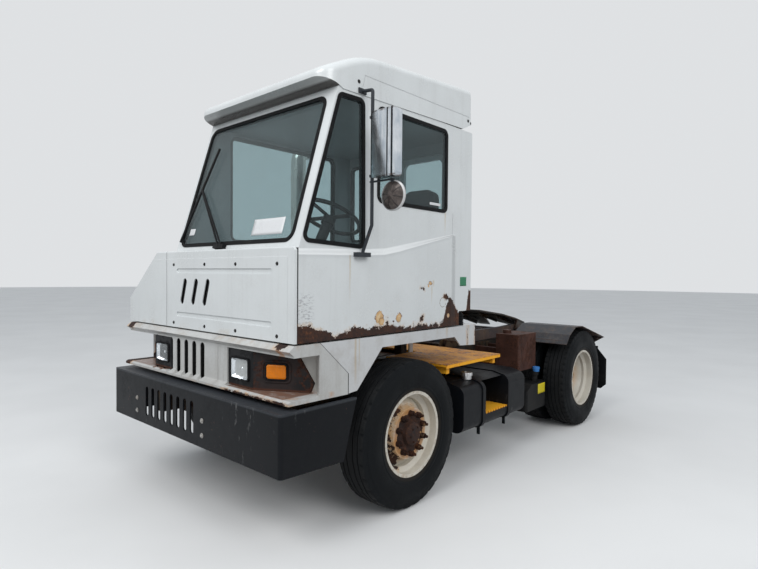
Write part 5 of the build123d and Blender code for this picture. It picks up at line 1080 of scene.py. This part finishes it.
def tyre_piece(bm, centre, grooves, lugs):
    """One tyre: arched ribs between zigzag grooves, notched shoulders, side walls with rings and a bead."""
    profile, kinds = tyre_profile(grooves)

    def shape(index, step, along, radius):
        """Moves a point of the profile by where it is round the tyre."""
        kind = kinds[index]
        notched = step % lugs == 0
        if kind != "wall" and abs(along) < TREAD_HALF - 0.002:
            along += (abs(step % ZIGZAG_STEPS - 4) - 2) * 0.0008
        if kind == "shoulder" and notched:
            radius -= GROOVE_DEPTH * 0.75
        elif kind == "rib" and lugs == REAR_LUGS and step % lugs == 1:
            radius -= 0.0035
        if kind == "wall" and radius > 0.497 and notched:
            along -= math.copysign(0.0028, along)
            radius -= 0.0030
        return along, radius

    spun(bm, profile, centre, ACROSS, TYRE_STEPS, shape, closed=False)


def tyres():
    """Six tyres, with blank side walls, in place of the plain ones."""
    for side, _ in SIDES:
        low, high = FRONT_TYRE_BOX[side]
        bm = bmesh.new()
        tyre_piece(bm, (low + high) / 2, FRONT_GROOVES, FRONT_LUGS)
        piece(f"front_tread_{side}", bm, "tyre", f"front_wheel_{side}", 28, (f"front_tyre_{side}",))
        low, high = REAR_TYRES_BOX[side]
        middle = (low + high) / 2
        bm = bmesh.new()
        for x in (low.x + TYRE_WIDTH / 2, high.x - TYRE_WIDTH / 2):
            tyre_piece(bm, Vector((x, middle.y, middle.z)), REAR_GROOVES, REAR_LUGS)
        piece(f"rear_treads_{side}", bm, "tyre", f"rear_wheels_{side}", 28, (f"rear_tyres_{side}",))


# Wheels

STUDS = 10
STUD_CIRCLE = 0.143
STUD_TURN = 0.31
HUB_BOLTS = 6
HUB_CIRCLE = 0.052
NUT_WASHER = ((0, 0.0215), (0.004, 0.0215), (0.0055, 0.018))
STUD = (
    (0.030, 0.0118), (0.036, 0.0112), (0.039, 0.0118), (0.046, 0.0112), (0.052, 0.0108), (0.056, 0.0085),
)
OUTSIDE_X = 1.5


def ring_places(x, y, radius, count, turn):
    """Places on a circle about an axle line."""
    angles = [2 * math.pi * step / count + turn for step in range(count)]
    return [(x, y + radius * math.cos(a), TYRE_RADIUS + radius * math.sin(a)) for a in angles]


def wheel_nuts():
    """Ten nuts on studs for each wheel, and the hub caps' small bolts."""
    for side, sign in SIDES:
        out = ACROSS * sign
        for axle, y, rim, body in (
            ("front", 0.0, f"front_rim_{side}", f"front_wheel_{side}"),
            ("rear", WHEELBASE, f"rear_rims_{side}", f"rear_wheels_{side}"),
        ):
            bm = bmesh.new()
            for number, spot in enumerate(ring_places(sign * OUTSIDE_X, y, STUD_CIRCLE, STUDS, STUD_TURN)):
                place, _ = skin(rim, at(*spot), -out)
                spun(bm, NUT_WASHER, place, out, 20)
                hexagon(bm, place + out * 0.005, out, 0.037, 0.028, number * 0.43)
                spun(bm, STUD, place, out, 14)
            piece(f"{axle}_wheel_nuts_{side}", bm, "nut_rust", body)
            bm = bmesh.new()
            for number, spot in enumerate(ring_places(sign * OUTSIDE_X, y, HUB_CIRCLE, HUB_BOLTS, 0.1)):
                place, _ = skin(rim, at(*spot), -out)
                hexagon(bm, place, out, 0.013, 0.008, number)
            piece(f"{axle}_hub_bolts_{side}", bm, "nut_rust", body)


# Lamps

CORNER_STEPS = 6
LAMP_WIDTH = 0.200
# Head lamp's rings, as how much narrower and lower than the lamp, corner radius and depth
LAMP_PARTS = (
    ("dish", "mirror_chrome", 60, True, (
        (0.020, 0.020, 0.014, 0.004), (0.030, 0.030, 0.018, -0.004), (0.055, 0.045, 0.026, -0.024),
        (0.090, 0.070, 0.028, -0.036), (0.130, 0.098, 0.020, -0.040), (0.165, 0.122, 0.008, -0.041),
    )),
    ("glass", "clear_lens", 60, True, (
        (0.016, 0.016, 0.014, 0.001), (0.018, 0.018, 0.015, 0.0055), (0.030, 0.030, 0.018, 0.0080),
        (0.070, 0.060, 0.022, 0.0102), (0.120, 0.095, 0.018, 0.0112), (0.180, 0.130, 0.004, 0.0115),
    )),
    ("surround", "rubber", 50, False, (
        (-0.002, -0.002, 0.022, -0.010), (-0.002, -0.002, 0.022, 0.007), (0.004, 0.004, 0.019, 0.0095),
        (0.014, 0.014, 0.015, 0.0085), (0.018, 0.018, 0.014, 0.0040), (0.018, 0.018, 0.014, -0.008),
    )),
)
BULB_CAP = ((-0.038, 0.012), (-0.020, 0.0118), (-0.016, 0.0105), (-0.013, 0.006), (-0.012, 0.0005))
# Turn lamp's rings, as width, height, corner radius and depth
TURN_PARTS = (
    ("frame", "rusty_steel", False, (
        (0.194, 0.142, 0.034, -0.004), (0.194, 0.142, 0.034, 0.0030), (0.186, 0.134, 0.030, 0.0070),
        (0.172, 0.124, 0.027, 0.0070), (0.166, 0.118, 0.025, 0.0020), (0.148, 0.102, 0.021, 0.0015),
    )),
    ("grommet", "rubber", False, (
        (0.152, 0.108, 0.022, 0.0010), (0.152, 0.108, 0.022, 0.0080), (0.146, 0.102, 0.020, 0.0105),
        (0.134, 0.092, 0.018, 0.0105), (0.129, 0.087, 0.016, 0.0085), (0.128, 0.086, 0.016, 0.0020),
    )),
    ("lens", "amber_lens", True, (
        (0.129, 0.087, 0.016, 0.0010), (0.129, 0.087, 0.016, 0.0090), (0.125, 0.083, 0.015, 0.0115),
        (0.106, 0.068, 0.012, 0.0130), (0.064, 0.038, 0.008, 0.0137), (0.016, 0.008, 0.002, 0.0140),
    )),
)
# Lamp plate's fold, as (across, along), the way that its folded part runs, and the lamp's place on it
PLATE_FOLD = (0.643, -1.024)
PLATE_WAY = (0.868, 0.496)
TURN_ALONG = 0.166
TURN_Z = 1.047


def rounded(width, height, radius):
    """Outline of a rounded rectangle, as (across, up)."""
    x, y = width / 2 - radius, height / 2 - radius
    points = []
    for cx, cy, start in ((x, y, 0), (-x, y, 90), (-x, -y, 180), (x, -y, 270)):
        for step in range(CORNER_STEPS + 1):
            angle = math.radians(start + 90 * step / CORNER_STEPS)
            points.append((cx + radius * math.cos(angle), cy + radius * math.sin(angle)))
    return points


def dished(bm, centre, across, up, rows, fill=True):
    """Rounded rectangles joined into one skin. Rows are (width, height, corner radius, depth)."""
    out = across.cross(up)
    rings = []
    for width, height, radius, depth in rows:
        outline = rounded(width, height, radius)
        rings.append([bm.verts.new(centre + across * a + up * b + out * depth) for a, b in outline])
    joined(bm, rings)
    if fill:
        bm.faces.new(rings[-1])


def lamp_part(name, finish, smooth, fill, centre, across, rings, stands_for):
    """One piece of a lamp, on the chassis."""
    bm = bmesh.new()
    dished(bm, centre, across, UP, rings, fill)
    piece(name, bm, finish, "chassis", smooth, stands_for)


def head_lamps():
    """Rectangular lamps: a silvered dish, a bulb cap, a fluted front glass and a rubber surround."""
    low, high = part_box("head_lamps")
    height = high.z - low.z
    for side, sign in SIDES:
        x = MIDLINE_X + sign * (high.x - LAMP_WIDTH / 2 - MIDLINE_X)
        centre = Vector((x, low.y + 0.004, (low.z + high.z) / 2))
        for part, finish, smooth, fill, rows in LAMP_PARTS:
            stands_for = ("head_lamps",) if (part, side) == ("glass", "left") else ()
            rings = [(LAMP_WIDTH - less, height - lower, *rest) for less, lower, *rest in rows]
            lamp_part(f"lamp_{part}_{side}", finish, smooth, fill, centre, ACROSS, rings, stands_for)
        bm = bmesh.new()
        spun(bm, BULB_CAP, centre, -ALONG, 18)
        piece(f"lamp_bulb_{side}", bm, "mirror_chrome", "chassis", 40)


def turn_lamps():
    """Rounded amber lenses, each in a stepped rubber frame on the folded part of its lamp plate."""
    for side, sign in SIDES:
        along = Vector((sign * PLATE_WAY[0], PLATE_WAY[1], 0))
        centre = at(sign * PLATE_FOLD[0], PLATE_FOLD[1], TURN_Z) + along * TURN_ALONG
        for part, finish, fill, rings in TURN_PARTS:
            stands_for = ("turn_lamps",) if (part, side) == ("lens", "left") else ()
            lamp_part(f"turn_{part}_{side}", finish, 40, fill, centre, along * sign, rings, stands_for)


# Driver's seat

SEAT_Y = 0.31
PEDESTAL_RINGS = 9
SEAT_TOP = ((0.40, 0.42, 0.03, 1.62), (0.43, 0.45, 0.03, 1.64), (0.43, 0.45, 0.03, 1.675))


def pad(name, centre, size, crowned, pinch, channels=(), lean=0.0):
    """A stuffed cushion: a crowned closed form with sides drawn in between corners and sewn channels."""
    bm = bmesh.new()
    bmesh.ops.create_cube(bm, size=2.0)
    bmesh.ops.subdivide_edges(bm, edges=bm.edges[:], cuts=23, use_grid_fill=True)
    half = Vector(size) / 2
    for vert in bm.verts:
        reach = sum(abs(part) ** 5.0 for part in vert.co) ** (1 / 5.0)
        u, v, w = vert.co / reach
        puff = (1 - u * u) * (1 - v * v)
        drawn = 1 - pinch * ((1 - v * v) * abs(u) ** 4 + (1 - u * u) * abs(v) ** 4) * 0.6
        z = w * (0.72 + crowned * puff)
        for place, axis in channels:
            along = (u, v, w)[axis]
            z -= math.copysign(0.10, w) * math.exp(-((along - place) / 0.045) ** 2) * (abs(w) > 0.35)
        z += math.sin(u * 9 + v * 4) * math.sin(v * 11 - u * 3) * 0.012 * abs(w)
        vert.co = Vector((u * drawn * half.x, v * drawn * half.y, z * half.z))
    bmesh.ops.transform(bm, matrix=Matrix.Rotation(lean, 4, "X"), verts=bm.verts)
    bmesh.ops.translate(bm, vec=Vector(centre), verts=bm.verts)
    made = piece(name, bm, "seat_cloth", "cab", 80)
    rounding = made.modifiers.new("rounding", "SUBSURF")
    rounding.levels = rounding.render_levels = 1


def driver_seat():
    """Cushion, back and head rest on a sprung pedestal, in place of the plain seat."""
    low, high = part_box("seat")
    width = high.x - low.x
    x = (low.x + high.x) / 2
    y = FRONT_AXLE_Y + SEAT_Y
    upright = math.radians(82)
    pad("seat_cushion", (x, y, 1.735), (width * 0.98, 0.50, 0.15), 0.28, 0.12, ((-0.42, 0), (0.42, 0)))
    channels = ((-0.45, 0), (0.45, 0), (0.1, 1))
    pad("seat_back", (x, y + 0.305, 2.06), (width * 0.94, 0.62, 0.13), 0.28, 0.14, channels, upright)
    pad("head_rest", (x, y + 0.345, high.z - 0.08), (0.27, 0.16, 0.09), 0.25, 0.1, lean=upright)
    sizes = [0.29 if ring % 2 else 0.34 for ring in range(PEDESTAL_RINGS)]
    spring = [(size, size, 0.05, low.z + 0.06 + ring * 0.04) for ring, size in enumerate(sizes)]
    foot = [(size, size, 0.03, low.z + height) for size, height in ((0.42, 0), (0.42, 0.03), (0.36, 0.06))]
    bm = bmesh.new()
    for rings in (spring, foot, SEAT_TOP):
        dished(bm, Vector((x, y, 0)), ACROSS, ALONG, rings)
    piece("seat_pedestal", bm, "black_plastic", "cab", 35, ("seat",))


# Small pieces

FRONT, LEFT = ALONG, -ACROSS
# Bolts: name, node, body, finish, heading, width across flats, height, places
BOLTS = (
    ("panel_bolts", "front_panel", "cab", "dark_bolt", FRONT, 0.014, 0.005,
     [(x, -1.05, z) for z in (1.712, 1.284) for x in (-0.332, 0.099, 0.475, 0.907)]),
    ("bumper_bolts", "bumper", "chassis", "bolt_zinc", FRONT, 0.020, 0.007,
     [(x, -1.15, z) for x in (-0.684, 0.270) for z in (0.686, 0.589)]),
    ("roof_bolts", "roof", "cab", "dark_bolt", LEFT, 0.015, 0.004,
     [(1.07, -0.527, 2.872), (1.07, 0.745, 2.900), (1.07, 0.790, 2.890)]),
)
# Blank films: name, node, body, place, size, heading and finish
FILMS = (
    ("screen_label", "cab_glass", "cab", (0.712, -1.0, 1.945), (0.315, 0.108), FRONT, "blank_white"),
    ("screen_corner_label", "cab_glass", "cab", (-0.205, -1.0, 1.95), (0.070, 0.050), FRONT, "blank_white"),
    ("window_label", "cab_glass", "cab", (1.06, 0.32, 2.185), (0.140, 0.020), LEFT, "blank_white"),
    ("side_label", "cab_shell", "cab", (1.07, 0.706, 1.600), (0.090, 0.073), LEFT, "blank_green"),
    ("small_tank_label", "def_tank", "chassis", (1.06, 2.225, 0.495), (0.160, 0.100), LEFT, "blank_yellow"),
)
FILM_COLUMNS, FILM_ROWS = 12, 6
# Filler caps: name, node, place across and along, radius, neck and finish
CAPS = (
    ("fuel_cap", "fuel_tank", 0.985, 0.905, 0.050, 0.030, "aluminium"),
    ("small_tank_cap", "def_tank", 0.985, 2.235, 0.036, 0.020, "cap_blue"),
)


def seat_on(node, spot, heading, away):
    """Place on a node where a line along heading meets it, and the way out of it."""
    place, normal = skin(node, at(*spot) - heading * away, heading)
    return place, normal if normal.dot(heading) < 0 else -normal


def bolts():
    """Bolt heads with washers, which show on the panels."""
    for name, node, body, finish, heading, flats, height, places in BOLTS:
        bm = bmesh.new()
        thickness = height * 0.22
        wide = flats * 0.86
        washer = ((-0.0005, wide), (thickness * 0.7, wide), (thickness, flats * 0.80), (thickness, 0.0004))
        for number, spot in enumerate(places):
            place, out = seat_on(node, spot, heading, 0.6)
            spun(bm, washer, place, out, 16)
            hexagon(bm, place + out * thickness, out, flats, height, number * 0.7)
        piece(name, bm, finish, body)


def labels():
    """Blank films on the glass, the cab's side and the small tank, lifting a little at their corners."""
    for name, node, body, spot, (width, height), heading, finish in FILMS:
        place, out = seat_on(node, spot, heading, 1.0)
        across = UP.cross(out).normalized()
        up = out.cross(across)
        bm = bmesh.new()
        grid = {}
        for i in range(FILM_COLUMNS + 1):
            for j in range(FILM_ROWS + 1):
                a, b = i / FILM_COLUMNS - 0.5, j / FILM_ROWS - 0.5
                lift = 0.0012 + 0.0014 * abs(a * 2) ** 6 * abs(b * 2) ** 4
                grid[i, j] = bm.verts.new(place + across * a * width + up * b * height + out * lift)
        for i in range(FILM_COLUMNS):
            for j in range(FILM_ROWS):
                bm.faces.new((grid[i, j], grid[i + 1, j], grid[i + 1, j + 1], grid[i, j + 1]))
        film = piece(name, bm, finish, body, 60).modifiers.new("film", "SOLIDIFY")
        film.thickness = 0.0006


def filler_caps():
    """Turned caps with finger grips: bare metal on the side tank, blue on the small tank."""

    def grips(index, step, along, reach):
        """Notches round the cap's edge."""
        return along, reach * (0.94 if step % 4 < 2 and index in (2, 3) else 1.0)

    for name, node, x, y, radius, neck, finish in CAPS:
        place, _ = skin(node, at(x, y, 1.5), -UP)
        profile = (
            (-0.002, radius * 0.86), (neck, radius * 0.86), (neck, radius), (neck + 0.022, radius),
            (neck + 0.026, radius * 0.94), (neck + 0.026, radius * 0.45), (neck + 0.022, radius * 0.40),
            (neck + 0.022, 0.0006),
        )
        bm = bmesh.new()
        spun(bm, profile, place, UP, 48, grips)
        piece(name, bm, finish, "chassis", 30)


# Surroundings

LAMPS = (
    ("key", (1.5, -9.0, 9.5), 7.0, 600, (0.2, 0.3, 1.4)),
    ("fill", (11.0, -3.0, 8.5), 7.0, 540, (0.4, 0.8, 1.2)),
)
FLOOR_RADIUS = 60


def surroundings():
    """Pale floor, soft light and a pale background."""
    bm = bmesh.new()
    bmesh.ops.create_circle(bm, cap_ends=True, radius=FLOOR_RADIUS, segments=96)
    mesh = bpy.data.meshes.new("floor")
    bm.to_mesh(mesh)
    bm.free()
    floor = bpy.data.objects.new("floor", mesh)
    bpy.context.scene.collection.objects.link(floor)
    s = Surface("floor")
    pale = s.mix(s.noise(0.6, 3).rise(0.3, 0.7), (0.80, 0.80, 0.795), (0.84, 0.84, 0.835))
    colour = s.mix(s.seen_directly(), (0.30, 0.295, 0.29), pale)
    mesh.materials.append(s.close(colour, 0.9, Specular_IOR_Level=0.1))

    bpy.context.scene.world = bpy.data.worlds.new("sky")
    s = Surface("sky", bpy.context.scene.world)
    soft = s.node("ShaderNodeBackground", None, {"Color": (0.90, 0.95, 1.0), "Strength": 0.60})
    white = s.node("ShaderNodeBackground", None, {"Color": (0.90, 0.92, 0.94), "Strength": 0.82})
    either = s.node("ShaderNodeMixShader", None, {0: s.seen_directly(), 1: soft, 2: white})
    s.finished(either, "ShaderNodeOutputWorld")

    for name, place, size, power, aim in LAMPS:
        data = bpy.data.lights.new(name, "AREA")
        data.shape = "DISK"
        data.size = size
        data.energy = power
        lamp = bpy.data.objects.new(name, data)
        lamp.location = at(*place)
        lamp.rotation_euler = (at(*aim) - at(*place)).to_track_quat("-Z", "Y").to_euler()
        bpy.context.scene.collection.objects.link(lamp)


add_camera()
surroundings()
make_finishes()
dress_nodes()
tyres()
wheel_nuts()
head_lamps()
turn_lamps()
driver_seat()
bolts()
labels()
filler_caps()

bpy.context.scene.view_settings.view_transform = "Standard"
